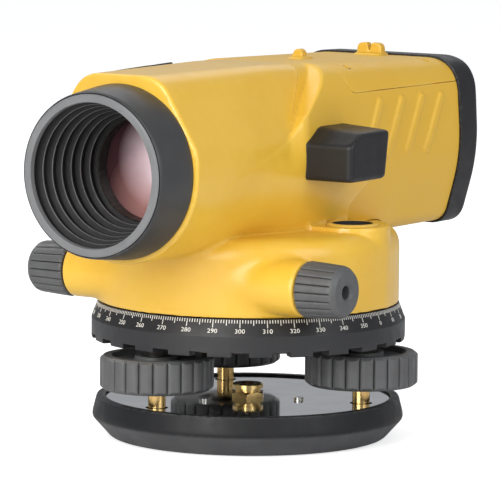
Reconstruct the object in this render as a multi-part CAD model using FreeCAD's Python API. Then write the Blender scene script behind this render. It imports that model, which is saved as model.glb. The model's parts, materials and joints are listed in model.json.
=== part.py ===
import FreeCAD, Part

import math
import os

# An automatic (self-levelling) surveyor's level, as an assembly of separate pieces, in millimetres.
# The origin is the centre of the base plate's underside, on the standing (vertical) axis.
# +Z is up, the objective looks along -Y, the eyepiece is at +Y, and the operator's left is +X.

# ---- driving dimensions ----------------------------------------------------------------------
BASE_RADIUS = 52.8            # widest part of the base plate
BASE_TOP = 13.6               # top of the base plate's rim
FLOOR = 11.5                  # recessed floor that the spring plate lies on
SPRING_PLATE_TOP = 12.9
TRIPOD_THREAD_RADIUS = 6.85   # wall of the 5/8 inch tripod thread, tapped from below
TRIPOD_THREAD_DEPTH = 9.0
POCKET_RADIUS = 7.8           # pockets in the base plate for the ball seats of the foot screws
POCKET_BOTTOM = 2.8
PLATE_SCREW_CIRCLE = 18.6
PLATE_SCREW_ANGLES = (10.5, 130.5, 250.5)

FOOT_CIRCLE = 40.2            # radius of the circle that the foot screws stand on
FOOT_ANGLES = {"a": 14.2, "b": 134.2, "c": 254.2}
BALL_HEIGHT = 8.0
BALL_RADIUS = 4.2
SEAT_CLEARANCE = 0.3
STEM_RADIUS = 2.95
FOOT_KNOB_RADIUS = 19.0
FOOT_KNOB_BOTTOM = 19.3
FOOT_KNOB_TOP = 30.8
FOOT_KNOB_RIBS = 24

TRIVET_RADIUS = 47.0
TRIVET_BOTTOM = 34.0
TRIVET_TOP = 38.15
TRIVET_HUB_RADIUS = 20.0
TRIVET_HUB_TOP = 44.0
SPINDLE_RADIUS = 8.0

CIRCLE_RADIUS = 53.0          # widest part of the graduated circle
CIRCLE_EDGE_RADIUS = 50.8     # top edge of the graduated cone
CIRCLE_BOTTOM = 33.5
CIRCLE_RIM = 40.4
CIRCLE_TOP = 46.0
CIRCLE_NOTCHES = 24

DRUM_RADIUS = 50.8
DRUM_BOTTOM = 46.3
DRUM_TOP = 72.0
DRUM_WALL = 2.8
DRUM_CEILING = 61.8

WORM_Y = -35.5                # axis of the tangent screw, which runs along X
WORM_Z = 56.6
WHEEL_TEETH = 100
WORM_PITCH = 1.885            # equal to the circular pitch of the worm wheel
WHEEL_PITCH_RADIUS = WHEEL_TEETH * WORM_PITCH / (2 * math.pi)
WORM_CORE_RADIUS = 4.75
WORM_TIP_RADIUS = 5.75
WORM_HALF_LENGTH = 5.5
TANGENT_KNOB_ROOT = 46.2
TANGENT_KNOB_END = 61.2

AXIS_Z = 95.5                 # height of the line of sight
HOOD_FRONT = -92.2
HOOD_REAR = -76.5
HOOD_RADIUS_FRONT = 26.8
HOOD_RADIUS_REAR = 28.6
STEP_FRONT = -22.0            # the lower half of the body widens between these two stations
STEP_REAR = -14.0
FACET_NORMAL = (-0.84, -1.0, 1.26)   # the slanted face where the upper half widens, on the +X side
FACET_POINT = (30.0, -19.0, 110.5)
BODY_REAR = 82.0
CAP_REAR = 95.0
CAP_RIM = 92.6                # where the rear cap starts to round off
CAP_SCREW_PLACES = [(side * 23.0, z) for side in (-1, 1) for z in (74.5, 115.0)]
WALL = 2.3
TOP_FRONT = 127.0
TOP_REAR = 124.2
SHOULDER_FRONT = 29.0         # half the width of the flat top behind the step, before rounding
SHOULDER_REAR = 32.0
SEAM_GAP = 0.15               # half-way clearance along the parting lines
LID_FRONT = 13.5
LID_EDGE = 116.4              # lower edge of the lid on the body's sides
LID_SCREW_PLACES = [(side * 24.5, y) for side in (-1, 1) for y in (22.0, 74.0)]

BOX_SIDE = 50.0               # the black box beside the telescope that holds the viewing prism
BOX_FRONT = -15.5
BOX_REAR = 7.0
BOX_BOTTOM = 89.7
BOX_TOP = 106.6

LENS_FRONT = -61.5            # front vertex of the objective
FOCUS_Y = -26.0               # middle of the focusing travel, and the pinion's place
PINION_TEETH = 12
PINION_MODULE = 0.4
PINION_RADIUS = PINION_TEETH * PINION_MODULE / 2
RACK_Z = 94.4                 # pitch line of the rack
PINION_Z = RACK_Z + PINION_RADIUS
RACK_INNER_X = -24.0
RACK_OUTER_X = -20.0
FOCUS_CELL_RADIUS = 14.0
FOCUS_BORE = 1.75
FOCUS_KNOB_RADIUS = 16.0
FOCUS_KNOB_ROOT = -34.4
FOCUS_KNOB_END = -48.0

FRAME_FRONT = 5.0             # the compensator's bracket
FRAME_REAR = 39.0
PENDULUM_Z = 106.0            # height of the axis that the pendulum swings about
TAPE_X = 15.0
RETICLE_Y = 62.0

VIAL_X = 38.0
VIAL_Y = 5.0
VIAL_TOP = 74.0
VIAL_BOSS_RADIUS = 12.6
VIAL_CLEARANCE = 0.3
VIAL_POCKET_RADIUS = 9.2


# ---- helpers ---------------------------------------------------------------------------------
def vector(x, y, z):
    return FreeCAD.Vector(x, y, z)


def cylinder(radius, start, end, axis="z", at=(0.0, 0.0)):
    """A cylinder along an axis; at gives the two other coordinates, in X, Y, Z order."""
    u, v = at
    place, direction = {
        "x": (vector(start, u, v), vector(1, 0, 0)),
        "y": (vector(u, start, v), vector(0, 1, 0)),
        "z": (vector(u, v, start), vector(0, 0, 1)),
    }[axis]
    return Part.makeCylinder(radius, end - start, place, direction)


def tube(outer, inner, start, end, axis="z", at=(0.0, 0.0)):
    return cylinder(outer, start, end, axis, at).cut(cylinder(inner, start - 1, end + 1, axis, at))


def cone(radius_start, radius_end, start, end, axis="z", at=(0.0, 0.0)):
    u, v = at
    place, direction = {
        "x": (vector(start, u, v), vector(1, 0, 0)),
        "y": (vector(u, start, v), vector(0, 1, 0)),
        "z": (vector(u, v, start), vector(0, 0, 1)),
    }[axis]
    return Part.makeCone(radius_start, radius_end, end - start, place, direction)


def block(x0, x1, y0, y1, z0, z1):
    return Part.makeBox(x1 - x0, y1 - y0, z1 - z0, vector(x0, y0, z0))


def sphere(radius, x, y, z):
    return Part.makeSphere(radius, vector(x, y, z))


def turned(profile, axis="z", at=(0.0, 0.0)):
    """A solid of revolution from (radius, station) points along the axis."""
    points = [vector(radius, 0, station) for radius, station in profile]
    face = Part.Face(Part.makePolygon(points + [points[0]]))
    solid = face.revolve(vector(0, 0, 0), vector(0, 0, 1), 360)
    u, v = at
    if axis == "y":
        solid.rotate(vector(0, 0, 0), vector(1, 0, 0), -90)
        solid.translate(vector(u, 0, v))
    elif axis == "x":
        solid.rotate(vector(0, 0, 0), vector(0, 1, 0), 90)
        solid.translate(vector(0, u, v))
    else:
        solid.translate(vector(u, v, 0))
    return solid


def side_prism(outline, x0, x1):
    """A prism along X from an outline of (y, z) points."""
    points = [vector(x0, y, z) for y, z in outline]
    face = Part.Face(Part.makePolygon(points + [points[0]]))
    return face.extrude(vector(x1 - x0, 0, 0))


def turn_about_z(shape, degrees):
    copy = shape.copy()
    copy.rotate(vector(0, 0, 0), vector(0, 0, 1), degrees)
    return copy


def on_circle(radius, degrees):
    angle = math.radians(degrees)
    return radius * math.cos(angle), radius * math.sin(angle)


def united(shapes):
    result = shapes[0].multiFuse(shapes[1:]) if len(shapes) > 1 else shapes[0]
    return result.removeSplitter()


def save(name, shapes):
    shape = shapes if not isinstance(shapes, list) else Part.makeCompound(shapes)
    shape.exportStep("parts/%s.step" % name)


def rounded_section(corners, y):
    """A closed wire in the plane Y = y, from (x, z, corner radius) corners."""
    edges, arcs = [], []
    count = len(corners)
    for i, (x, z, radius) in enumerate(corners):
        before, after = corners[i - 1], corners[(i + 1) % count]
        here = vector(x, y, z)
        back = (vector(before[0], y, before[1]) - here).normalize()
        ahead = (vector(after[0], y, after[1]) - here).normalize()
        half_angle = back.getAngle(ahead) / 2
        reach = radius / math.tan(half_angle)
        bisector = (back + ahead).normalize()
        middle = here + bisector * (radius / math.sin(half_angle) - radius)
        arcs.append((here + back * reach, middle, here + ahead * reach))
    for i, (first, middle, last) in enumerate(arcs):
        edges.append(Part.Arc(first, middle, last).toShape())
        edges.append(Part.makeLine(last, arcs[(i + 1) % count][0]))
    return Part.Wire(edges)


def mirrored(half):
    """Corners of a section that is symmetrical about X = 0, from its +X half, bottom to top."""
    return half + [(-x, z, radius) for x, z, radius in reversed(half)]


def front_section(y, inset=0.0):
    """The narrow front of the telescope body: a barrel below, sloping sides and a flat top."""
    share = (y - HOOD_REAR) / (STEP_FRONT - HOOD_REAR)
    half_top = 15.0 + 2.4 * share
    top = min(TOP_FRONT, body_top(y))
    return rounded_section(mirrored([
        (30.0 - inset, 65.5 + inset, 29.8 - inset),
        (30.0 - inset, 103.0, 12.0),
        (half_top - 0.7 * inset, top - inset, 10.0 - inset),
    ]), y)


def body_top(y):
    """Height of the rear body's flat top, which falls gently towards the eyepiece."""
    share = (y - STEP_REAR) / (BODY_REAR - STEP_REAR)
    return TOP_FRONT + share * (TOP_REAR - TOP_FRONT)


def rear_section(y, inset=0.0):
    """The wider rear of the telescope body: bulging sides with rounded corners."""
    share = (y - STEP_REAR) / (BODY_REAR - STEP_REAR)
    shoulder = SHOULDER_FRONT + share * (SHOULDER_REAR - SHOULDER_FRONT)
    return rounded_section(mirrored([
        (27.0 - 0.8 * inset, 65.8 + inset, 7.0 - inset),
        (34.2 - inset, 91.0, 60.0),
        (shoulder - inset, body_top(y) - inset, 10.0 - inset),
    ]), y)


def loft(first, second):
    return Part.makeLoft([first, second], True, True)


# ---- base: the plate that stands on the tripod -----------------------------------------------
def foot_place(foot):
    return on_circle(FOOT_CIRCLE, FOOT_ANGLES[foot])


def base_plate():
    body = turned([
        (0, 0), (46.5, 0), (51.9, 5.9), (BASE_RADIUS, 6.6), (BASE_RADIUS, 7.4),
        (51.4, 12.8), (50.9, BASE_TOP), (48.2, BASE_TOP), (48.2, FLOOR), (0, FLOOR),
    ])
    body = body.cut(cylinder(TRIPOD_THREAD_RADIUS, -1, TRIPOD_THREAD_DEPTH))
    body = body.cut(cylinder(2.5, TRIPOD_THREAD_DEPTH - 1, FLOOR + 1))
    for foot in FOOT_ANGLES:
        body = body.cut(cylinder(POCKET_RADIUS, POCKET_BOTTOM, FLOOR + 1, at=foot_place(foot)))
    for angle in PLATE_SCREW_ANGLES:
        body = body.cut(cylinder(1.0, 6.5, FLOOR + 1, at=on_circle(PLATE_SCREW_CIRCLE, angle)))
    return body


def spring_plate():
    plate = cylinder(47.9, FLOOR, SPRING_PLATE_TOP).cut(cylinder(2.6, FLOOR - 1, BASE_TOP))
    for foot in FOOT_ANGLES:
        plate = plate.cut(cylinder(3.8, FLOOR - 1, BASE_TOP, at=foot_place(foot)))
    for angle in PLATE_SCREW_ANGLES:
        plate = plate.cut(cylinder(1.1, FLOOR - 1, BASE_TOP, at=on_circle(PLATE_SCREW_CIRCLE, angle)))
    return plate


def slotted_screw(head_radius, head_height, shank_radius, shank_length, slot=0.5):
    """A cheese-head screw, with its head's underside at the origin and its shank down -Z."""
    head = cylinder(head_radius, 0, head_height).fuse(cylinder(shank_radius, -shank_length, 0))
    groove = block(-head_radius, head_radius, -slot / 2, slot / 2, head_height * 0.55, head_height + 1)
    return head.cut(groove).removeSplitter()


def moved(shape, x, y, z):
    copy = shape.copy()
    copy.translate(vector(x, y, z))
    return copy


def spring_plate_screws():
    screw = slotted_screw(1.6, 0.9, 1.0, 5.5)
    return [moved(turn_about_z(screw, angle), *on_circle(PLATE_SCREW_CIRCLE, angle), SPRING_PLATE_TOP)
            for angle in PLATE_SCREW_ANGLES]


def centre_nut():
    """The brass screw that clamps the spring plate: a hexagon, a collar and a knurled top."""
    points = [vector(*on_circle(6.0, 60 * i), SPRING_PLATE_TOP) for i in range(7)]
    hexagon = Part.Face(Part.makePolygon(points)).extrude(vector(0, 0, 1.9))
    hexagon = hexagon.common(cone(7.2, 5.2, SPRING_PLATE_TOP, SPRING_PLATE_TOP + 2.0))
    collar = cylinder(4.3, SPRING_PLATE_TOP, 15.9)
    top = cylinder(5.2, 15.9, 17.2).fuse(cone(5.2, 4.6, 17.2, 17.6))
    shank = cylinder(2.5, TRIPOD_THREAD_DEPTH + 0.3, SPRING_PLATE_TOP)
    socket = cylinder(2.2, 15.6, 18.0)
    return united([hexagon, collar, top, shank]).cut(socket)


# ---- foot screws -----------------------------------------------------------------------------
def foot_seat(x, y):
    cup = cylinder(7.4, 3.1, 7.75, at=(x, y))
    return cup.cut(sphere(BALL_RADIUS + SEAT_CLEARANCE, x, y, BALL_HEIGHT))


def foot_collar(x, y):
    collar = cylinder(7.4, 8.25, 11.1, at=(x, y))
    collar = collar.cut(sphere(BALL_RADIUS + SEAT_CLEARANCE, x, y, BALL_HEIGHT))
    return collar.cut(cylinder(3.8, 8, 12, at=(x, y)))


def foot_screw(x, y):
    """The stud of a foot screw, with its ball end. It rises and falls but doesn't turn."""
    stem = cylinder(STEM_RADIUS, BALL_HEIGHT, 36.2, at=(x, y))
    tip = cone(STEM_RADIUS, 2.5, 36.2, 36.6, at=(x, y))
    return united([stem, tip, sphere(BALL_RADIUS, x, y, BALL_HEIGHT)])


def foot_nut(x, y):
    """The brass nut that turns with the knob, held in the trivet between its shoulder and flange."""
    profile = [(3.0, 18.4), (4.1, 18.4), (4.6, 18.9), (4.6, 19.9), (5.5, 19.9), (5.5, 33.95), (4.5, 33.95),
               (4.5, 38.2), (6.0, 38.2), (6.0, 39.3), (3.0, 39.3)]
    return turned(profile, at=(x, y))


def foot_knob(x, y):
    """A knob with half-round ribs on its rim and a recessed top."""
    profile = [
        (5.5, FOOT_KNOB_BOTTOM + 0.8), (8.5, FOOT_KNOB_BOTTOM + 0.8), (9.3, FOOT_KNOB_BOTTOM),
        (16.2, FOOT_KNOB_BOTTOM), (FOOT_KNOB_RADIUS - 0.9, FOOT_KNOB_BOTTOM + 1.8),
        (FOOT_KNOB_RADIUS - 0.9, FOOT_KNOB_TOP - 1.8), (16.4, FOOT_KNOB_TOP),
        (14.6, FOOT_KNOB_TOP), (14.0, FOOT_KNOB_TOP - 1.6), (7.4, FOOT_KNOB_TOP - 1.6),
        (7.4, FOOT_KNOB_TOP), (5.5, FOOT_KNOB_TOP),
    ]
    body = turned(profile)
    rib_height = FOOT_KNOB_TOP - FOOT_KNOB_BOTTOM
    rib = cylinder(1.9, FOOT_KNOB_BOTTOM, FOOT_KNOB_TOP, at=(FOOT_KNOB_RADIUS - 1.9, 0))
    trim = turned([(0, FOOT_KNOB_BOTTOM + 1.7), (14.5, FOOT_KNOB_BOTTOM - 0.4), (17.0, FOOT_KNOB_BOTTOM),
                   (FOOT_KNOB_RADIUS + 0.2, FOOT_KNOB_BOTTOM + 2.2),
                   (FOOT_KNOB_RADIUS + 0.2, FOOT_KNOB_BOTTOM + rib_height - 2.2),
                   (17.0, FOOT_KNOB_TOP), (0, FOOT_KNOB_TOP)])
    rib = rib.common(trim).cut(cylinder(14.7, FOOT_KNOB_BOTTOM - 1, FOOT_KNOB_TOP + 1))
    ribs = [turn_about_z(rib, 360.0 / FOOT_KNOB_RIBS * i) for i in range(FOOT_KNOB_RIBS)]
    return moved(united([body] + ribs), x, y, 0)


# ---- trivet, standing axis and graduated circle ----------------------------------------------
def trivet():
    plate = cylinder(TRIVET_RADIUS, TRIVET_BOTTOM, TRIVET_TOP)
    hub = cylinder(TRIVET_HUB_RADIUS, TRIVET_TOP, TRIVET_HUB_TOP)
    body = united([plate, hub]).cut(cylinder(SPINDLE_RADIUS, 30, 50))
    for foot in FOOT_ANGLES:
        body = body.cut(cylinder(4.55, 30, 45, at=foot_place(foot)))
    for angle in FOOT_ANGLES.values():
        pocket = cylinder(9.5, TRIVET_BOTTOM - 1, TRIVET_BOTTOM + 2.0, at=on_circle(32.0, angle + 60))
        body = body.cut(pocket)
    return body


def spindle():
    """The steel standing axis, pressed into the trivet from below against its flange."""
    return turned([(0, 30.6), (13.0, 30.6), (13.4, 31.0), (13.4, 33.95), (SPINDLE_RADIUS, 33.95),
                   (SPINDLE_RADIUS, 64.6), (7.6, 65.0), (2.0, 65.0), (2.0, 56.0), (0, 56.0)])


def circle_ring():
    """The horizontal circle: a graduated cone above a plain rim, with notches in its lower edge."""
    profile = [
        (TRIVET_HUB_RADIUS + 0.05, 40.0), (47.6, 40.0),
        (47.6, CIRCLE_BOTTOM), (CIRCLE_RADIUS - 0.6, CIRCLE_BOTTOM),
        (CIRCLE_RADIUS, CIRCLE_BOTTOM + 0.6), (CIRCLE_RADIUS, CIRCLE_RIM), (CIRCLE_EDGE_RADIUS, CIRCLE_TOP),
        (48.6, CIRCLE_TOP), (48.6, 42.0), (TRIVET_HUB_RADIUS + 0.05, 42.0),
    ]
    ring = turned(profile)
    notch = block(46.0, 54.0, -3.2, 3.2, CIRCLE_BOTTOM - 1, CIRCLE_BOTTOM + 1.7)
    notches = [turn_about_z(notch, 360.0 / CIRCLE_NOTCHES * i) for i in range(CIRCLE_NOTCHES)]
    return ring.cut(Part.makeCompound(notches))


def worm_wheel():
    """The toothed wheel that the tangent screw drives. A friction washer ties it to the trivet."""
    addendum, dedendum = 0.45, 0.95
    tip, root = WHEEL_PITCH_RADIUS + addendum, WHEEL_PITCH_RADIUS - dedendum
    pitch_angle = 360.0 / WHEEL_TEETH
    points = []
    for i in range(WHEEL_TEETH):
        middle = -90 + pitch_angle * (i + 0.5)
        for radius, share in ((root, -0.30), (tip, -0.13), (tip, 0.13), (root, 0.30)):
            points.append(vector(*on_circle(radius, middle + share * pitch_angle), 54.1))
    rim = Part.Face(Part.makePolygon(points + [points[0]])).extrude(vector(0, 0, 5.0))
    wheel = united([rim, cylinder(15.0, 45.0, 59.1)]).cut(cylinder(11.05, 40, 62))
    wheel = wheel.cut(tube(27.0, 15.0, 56.0, 60.0)).cut(tube(27.0, 15.0, 50.0, 54.9))
    for i in range(6):
        wheel = wheel.cut(cylinder(3.5, 50, 60, at=on_circle(21.0, 60 * i)))
    return wheel


def clutch_washers():
    """The friction washer under the worm wheel and the wave spring above it."""
    return [tube(19.0, 11.6, TRIVET_HUB_TOP + 0.05, 44.95), tube(14.8, 11.1, 59.15, 59.75)]


def axis_bush():
    return turned([(8.05, 44.9), (11.0, 44.9), (11.0, 59.8), (15.0, 59.8), (15.0, DRUM_CEILING),
                   (11.0, DRUM_CEILING), (11.0, 65.0), (8.05, 65.0)])


def axis_retainer():
    """The washer and screw on top of the spindle that keep the upper part from lifting off."""
    head = slotted_screw(4.0, 1.5, 2.0, 9.0, 0.9)
    return [moved(head, 0, 0, 66.2), tube(10.4, 2.0, 65.15, 66.2)]


# ---- tangent screw ---------------------------------------------------------------------------
def tangent_screw():
    """The tangent screw: a long shaft with a short right-handed worm in the middle."""
    core = cylinder(WORM_CORE_RADIUS, -7.0, 7.0, "x", (0, 0))
    shaft = cylinder(2.5, -55.0, 55.0, "x", (0, 0))
    start = -WORM_PITCH * round(WORM_HALF_LENGTH / WORM_PITCH)
    length = -2 * start
    helix = Part.makeHelix(WORM_PITCH, length, WORM_CORE_RADIUS)
    inner, outer = WORM_CORE_RADIUS - 0.4, WORM_TIP_RADIUS
    half_root, half_tip = 0.40, 0.24
    profile = Part.makePolygon([
        vector(inner, 0, -half_root), vector(outer, 0, -half_tip), vector(outer, 0, half_tip),
        vector(inner, 0, half_root), vector(inner, 0, -half_root)])
    thread = Part.Wire(helix.Edges).makePipeShell([profile], True, True)
    # The helix is made about Z from the +X side. This turn takes Z to X and that side to +Y.
    placement = FreeCAD.Placement(FreeCAD.Matrix(0, 0, 1, start, 1, 0, 0, 0, 0, 1, 0, 0, 0, 0, 0, 1))
    thread.Placement = placement
    worm = core.fuse(thread).fuse(shaft).removeSplitter()
    return moved(worm, 0, WORM_Y, WORM_Z)


def tangent_bushes():
    return [tube(5.0, 2.55, side * 40.0 - 5.0, side * 40.0 + 5.0, "x", (WORM_Y, WORM_Z)) for side in (-1, 1)]


def tangent_knob(side):
    """A tapered, ribbed knob with a dark hole in its end."""
    length = TANGENT_KNOB_END - TANGENT_KNOB_ROOT
    profile = [(2.5, 0), (8.9, 0), (9.3, 0.5), (8.5, length - 1.6), (7.2, length - 0.2), (6.6, length),
               (3.2, length), (3.2, length - 5.0), (2.5, length - 5.0)]
    knob = turned(profile, "x")
    ribs = []
    for i in range(20):
        y, z = on_circle(8.45, 18 * i)
        rib = cone(0.95, 0.75, 0.3, length - 1.7, "x", (y, z))
        ribs.append(rib)
    knob = united([knob] + ribs)
    if side < 0:
        knob = knob.mirror(vector(0, 0, 0), vector(1, 0, 0))
    return moved(knob, side * TANGENT_KNOB_ROOT, WORM_Y, WORM_Z)


# ---- telescope body --------------------------------------------------------------------------
def ahead_of_facet(inset):
    """The space in front of and above the slanted faces where the body's upper half widens."""
    corners = []
    for side in (-1, 1):
        normal = vector(side * FACET_NORMAL[0], FACET_NORMAL[1], FACET_NORMAL[2]).normalize()
        slab = Part.makeBox(300, 300, 80, vector(-150, -150, 0))
        place = vector(side * FACET_POINT[0], FACET_POINT[1], FACET_POINT[2]) - normal * inset
        slab.Placement = FreeCAD.Placement(place, FreeCAD.Rotation(vector(0, 0, 1), normal))
        corners.append(slab.common(block(min(0, side * 60), max(0, side * 60), -100, 60, 60, 150)))
    return Part.makeCompound(corners)


def narrow_body(inset=0.0, front=HOOD_REAR, rear=LID_FRONT):
    """The narrow front with its ridge, which runs on into the wider body as far as the lid."""
    return united([loft(front_section(front, inset), front_section(STEP_REAR, inset)),
                   loft(front_section(STEP_REAR, inset), front_section(rear, inset))])


def widening(inset=0.0):
    """The steep growth of the body's sides, which starts just under the narrow body's surface."""
    step = loft(front_section(STEP_FRONT, inset + 0.5), rear_section(STEP_REAR, inset))
    return step.cut(ahead_of_facet(inset))


def wide_body(inset=0.0, rear=BODY_REAR):
    return loft(rear_section(STEP_REAR, inset), rear_section(rear, inset)).cut(ahead_of_facet(inset))


def body_cavity():
    """The room inside the telescope body for the focusing lens, compensator and reticle."""
    return united([narrow_body(WALL, HOOD_REAR + 4.0), wide_body(WALL, BODY_REAR + 1.0)])


def behind_seam(gap):
    """The region behind the parting line between the main housing and the rear cover."""
    outline = [(1 + gap, 140), (1 + gap, 125.5 + 0.4 * gap), (-13.5 + gap, 111.5 + 0.4 * gap),
               (-13.5 + gap, 97 + gap), (24 + 1.8 * gap, 86.6 + 0.4 * gap),
               (15 + gap, 79), (15 + gap, 50), (120, 50), (120, 140)]
    return side_prism(outline, -60, 60)


def vial_boss(gap):
    """The upright rounded block beside the telescope that holds the circular vial."""
    radius, top = VIAL_BOSS_RADIUS + gap, VIAL_TOP - 0.4 + gap
    return united([cylinder(radius, DRUM_BOTTOM, top, at=(VIAL_X, VIAL_Y)),
                   block(20, VIAL_X, VIAL_Y - radius, VIAL_Y + radius, DRUM_BOTTOM, top)])


def drum():
    """The round housing over the worm wheel, with bosses for the tangent screw and the vial."""
    body = cylinder(DRUM_RADIUS, DRUM_BOTTOM, DRUM_TOP)
    top_edges = [e for e in body.Edges if abs(e.BoundBox.ZMin - DRUM_TOP) < 0.01 and e.Closed]
    body = body.makeFillet(5.5, top_edges[:1])
    boss = cylinder(9.2, -45.8, 45.8, "x", (WORM_Y, WORM_Z))
    return united([body, boss, vial_boss(0.0)])


def drum_cavity():
    inside = cylinder(DRUM_RADIUS - DRUM_WALL, DRUM_BOTTOM - 1, DRUM_CEILING)
    inside = inside.cut(Part.makeCompound([
        cylinder(8.5, -47.0, -32.0, "x", (WORM_Y, WORM_Z)),
        cylinder(8.5, 32.0, 47.0, "x", (WORM_Y, WORM_Z)),
    ]))
    return inside.fuse(cylinder(6.6, -9.0, 9.0, "x", (WORM_Y, WORM_Z)))


def main_housing():
    body = united([narrow_body(), widening(), wide_body()])
    body = body.cut(behind_seam(-SEAM_GAP))
    solid = united([body, drum()])
    solid = solid.cut(body_cavity().cut(block(-60, 60, -90, 90, 50, 68.5)))
    solid = solid.cut(drum_cavity())
    solid = solid.cut(Part.makeCompound([
        cylinder(5.0, 26.0, 47.0, "x", (WORM_Y, WORM_Z)),
        cylinder(5.0, -47.0, -26.0, "x", (WORM_Y, WORM_Z)),
    ]))
    solid = solid.cut(cylinder(11.0, 60, 65.2)).cut(cylinder(12.5, 65.0, 70.0))
    solid = solid.cut(cylinder(VIAL_POCKET_RADIUS, 66.0, VIAL_TOP + 0.5, at=(VIAL_X, VIAL_Y)))
    solid = solid.cut(cylinder(24.6, HOOD_REAR - 1, HOOD_REAR + 5, "y", (0, AXIS_Z)))
    solid = solid.cut(cylinder(FOCUS_BORE, -40.0, -20.0, "x", (FOCUS_Y, PINION_Z)))
    return biggest(solid)


def biggest(shape):
    return sorted(shape.Solids, key=lambda solid: solid.Volume)[-1]


def lid_region(gap):
    return block(-60, 60, LID_FRONT - gap, 120, LID_EDGE - gap, 140)


def rear_cover():
    """The rear shell of the telescope body, with an opening on top for the lid."""
    shell = united([narrow_body(), wide_body()]).common(behind_seam(SEAM_GAP)).cut(body_cavity())
    shell = shell.cut(cylinder(DRUM_RADIUS + 0.2, 40, DRUM_TOP + 0.2))
    shell = shell.cut(lid_region(SEAM_GAP))
    shell = shell.cut(vial_boss(VIAL_CLEARANCE))
    return biggest(shell)


def top_lid():
    """The lid over the compensator, in one moulding with the front and rear sights."""
    shell = wide_body().cut(wide_body(1.7, BODY_REAR + 1.0)).common(lid_region(0.0))
    for x, y in LID_SCREW_PLACES:
        shell = shell.cut(cylinder(1.3, 110, 135, at=(x, y)))
    return biggest(united([shell, front_sight(), rear_sight()]))


def lid_screws():
    screw = slotted_screw(1.25, 1.0, 0.9, 5.0, 0.4)
    return [moved(screw, x, y, body_top(y) - 2.8) for x, y in LID_SCREW_PLACES]


def front_sight():
    base = body_top(31.0) - 0.3
    bead = cylinder(1.8, 29.8, 32.4, "y", (0, base + 1.7))
    post = block(-1.8, 1.8, 29.8, 32.4, base, base + 1.7)
    foot = block(-2.6, 2.6, 28.2, 34.4, base, base + 1.0)
    return bead.fuse(post).fuse(foot)


def rear_sight():
    """A plate with a V-shaped notch, rounded at its upper corners."""
    base = body_top(79.0) - 0.3
    top = base + 4.6
    plate = block(-4.8, 4.8, 76.4, 79.0, base, top)
    corners = [e for e in plate.Edges if abs(e.BoundBox.ZMin - top) < 0.01 and e.BoundBox.XLength < 0.01]
    plate = plate.makeFillet(1.6, corners)
    notch = Part.Face(Part.makePolygon([vector(x, 70, z) for x, z in (
        (0, base + 1.6), (1.7, base + 6.0), (-1.7, base + 6.0), (0, base + 1.6))])).extrude(vector(0, 20, 0))
    foot = block(-4.8, 4.8, 74.6, 80.6, base, base + 1.0)
    return plate.fuse(foot).cut(notch)


def rear_cap():
    """The black end cap that closes the body behind the rear cover and carries the eyepiece."""
    proud = -0.6
    skirt = loft(rear_section(BODY_REAR + 0.2, proud), rear_section(CAP_RIM, proud))
    crown = loft(rear_section(CAP_RIM, proud), rear_section(CAP_REAR, 1.2))
    hollow = loft(rear_section(BODY_REAR - 1, 3.0), rear_section(CAP_RIM - 1.1, 3.0))
    cap = united([skirt, crown]).cut(hollow)
    cap = cap.cut(cylinder(15.1, 80, 100, "y", (0, AXIS_Z)))
    for x, z in CAP_SCREW_PLACES:
        cap = cap.cut(cylinder(1.1, 80, 100, "y", (x, z)))
        cap = cap.cut(cylinder(2.1, CAP_REAR - 2.0, 100, "y", (x, z)))
    return cap


def cap_screws():
    screw = slotted_screw(2.0, 1.4, 1.05, 5.0)
    screw.rotate(vector(0, 0, 0), vector(1, 0, 0), -90)
    return [moved(screw, x, CAP_REAR - 2.0, z) for x, z in CAP_SCREW_PLACES]


def side_cover():
    """The black cover on the operator's right, around the focusing knob."""
    outer = loft(front_section(-66.0, -0.9), front_section(STEP_FRONT - 1.0, -0.9))
    cover = outer.cut(narrow_body(-0.03)).common(block(-60, -15.5, -70, 0, 82.0, 140))
    cover = cover.cut(cylinder(FOCUS_BORE + 0.5, -40.0, -20.0, "x", (FOCUS_Y, PINION_Z)))
    return biggest(cover)


def prism_housing():
    """The black box beside the telescope that shows the vial to the operator through its rear window."""
    box = block(31.0, BOX_SIDE, BOX_FRONT, BOX_REAR, BOX_BOTTOM, BOX_TOP + 1.0)
    outer_edges = [e for e in box.Edges if e.BoundBox.XMax > BOX_SIDE - 0.1 and e.BoundBox.XLength < 0.01]
    box = box.makeFillet(1.5, outer_edges)
    front_bevel = side_prism([(BOX_FRONT - 4.0, BOX_TOP - 6.6), (BOX_FRONT - 4.0, BOX_TOP + 3.4),
                              (BOX_FRONT + 6.0, BOX_TOP + 3.4), (BOX_FRONT + 6.0, BOX_TOP + 1.4)], 20, 60)
    top_slope = Part.Face(Part.makePolygon([vector(x, -30, z) for x, z in (
        (20.0, BOX_TOP + 1.3), (60.0, BOX_TOP - 1.5), (60.0, 130.0), (20.0, 130.0), (20.0, BOX_TOP + 1.3))]))
    box = box.cut(front_bevel).cut(top_slope.extrude(vector(0, 60, 0)))
    window = block(36.4, 47.6, -2.0, BOX_REAR + 1.0, 91.9, 101.6)
    box = box.cut(wide_body(-0.02)).cut(narrow_body(-0.02)).cut(widening(-0.02))
    return biggest(box.cut(window))


def bubble_prism():
    window = BOX_REAR - 1.1
    return side_prism([(window, 92.0), (window, 101.5), (-1.8, 101.5), (-1.8, 97.0)], 36.5, 47.5)


# ---- circular vial ---------------------------------------------------------------------------
def vial_holder():
    rim = VIAL_TOP + 0.2
    profile = [(0, 66.6), (8.8, 66.6), (8.8, rim - 0.4), (8.2, rim), (6.9, rim), (6.9, 68.2), (0, 68.2)]
    return turned(profile, at=(VIAL_X, VIAL_Y))


def vial():
    """The glass of the circular vial, slightly domed on top."""
    glass = cylinder(6.85, 68.25, VIAL_TOP + 0.1, at=(VIAL_X, VIAL_Y))
    return glass.common(sphere(46.0, VIAL_X, VIAL_Y, VIAL_TOP + 0.2 - 46.0))


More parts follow.
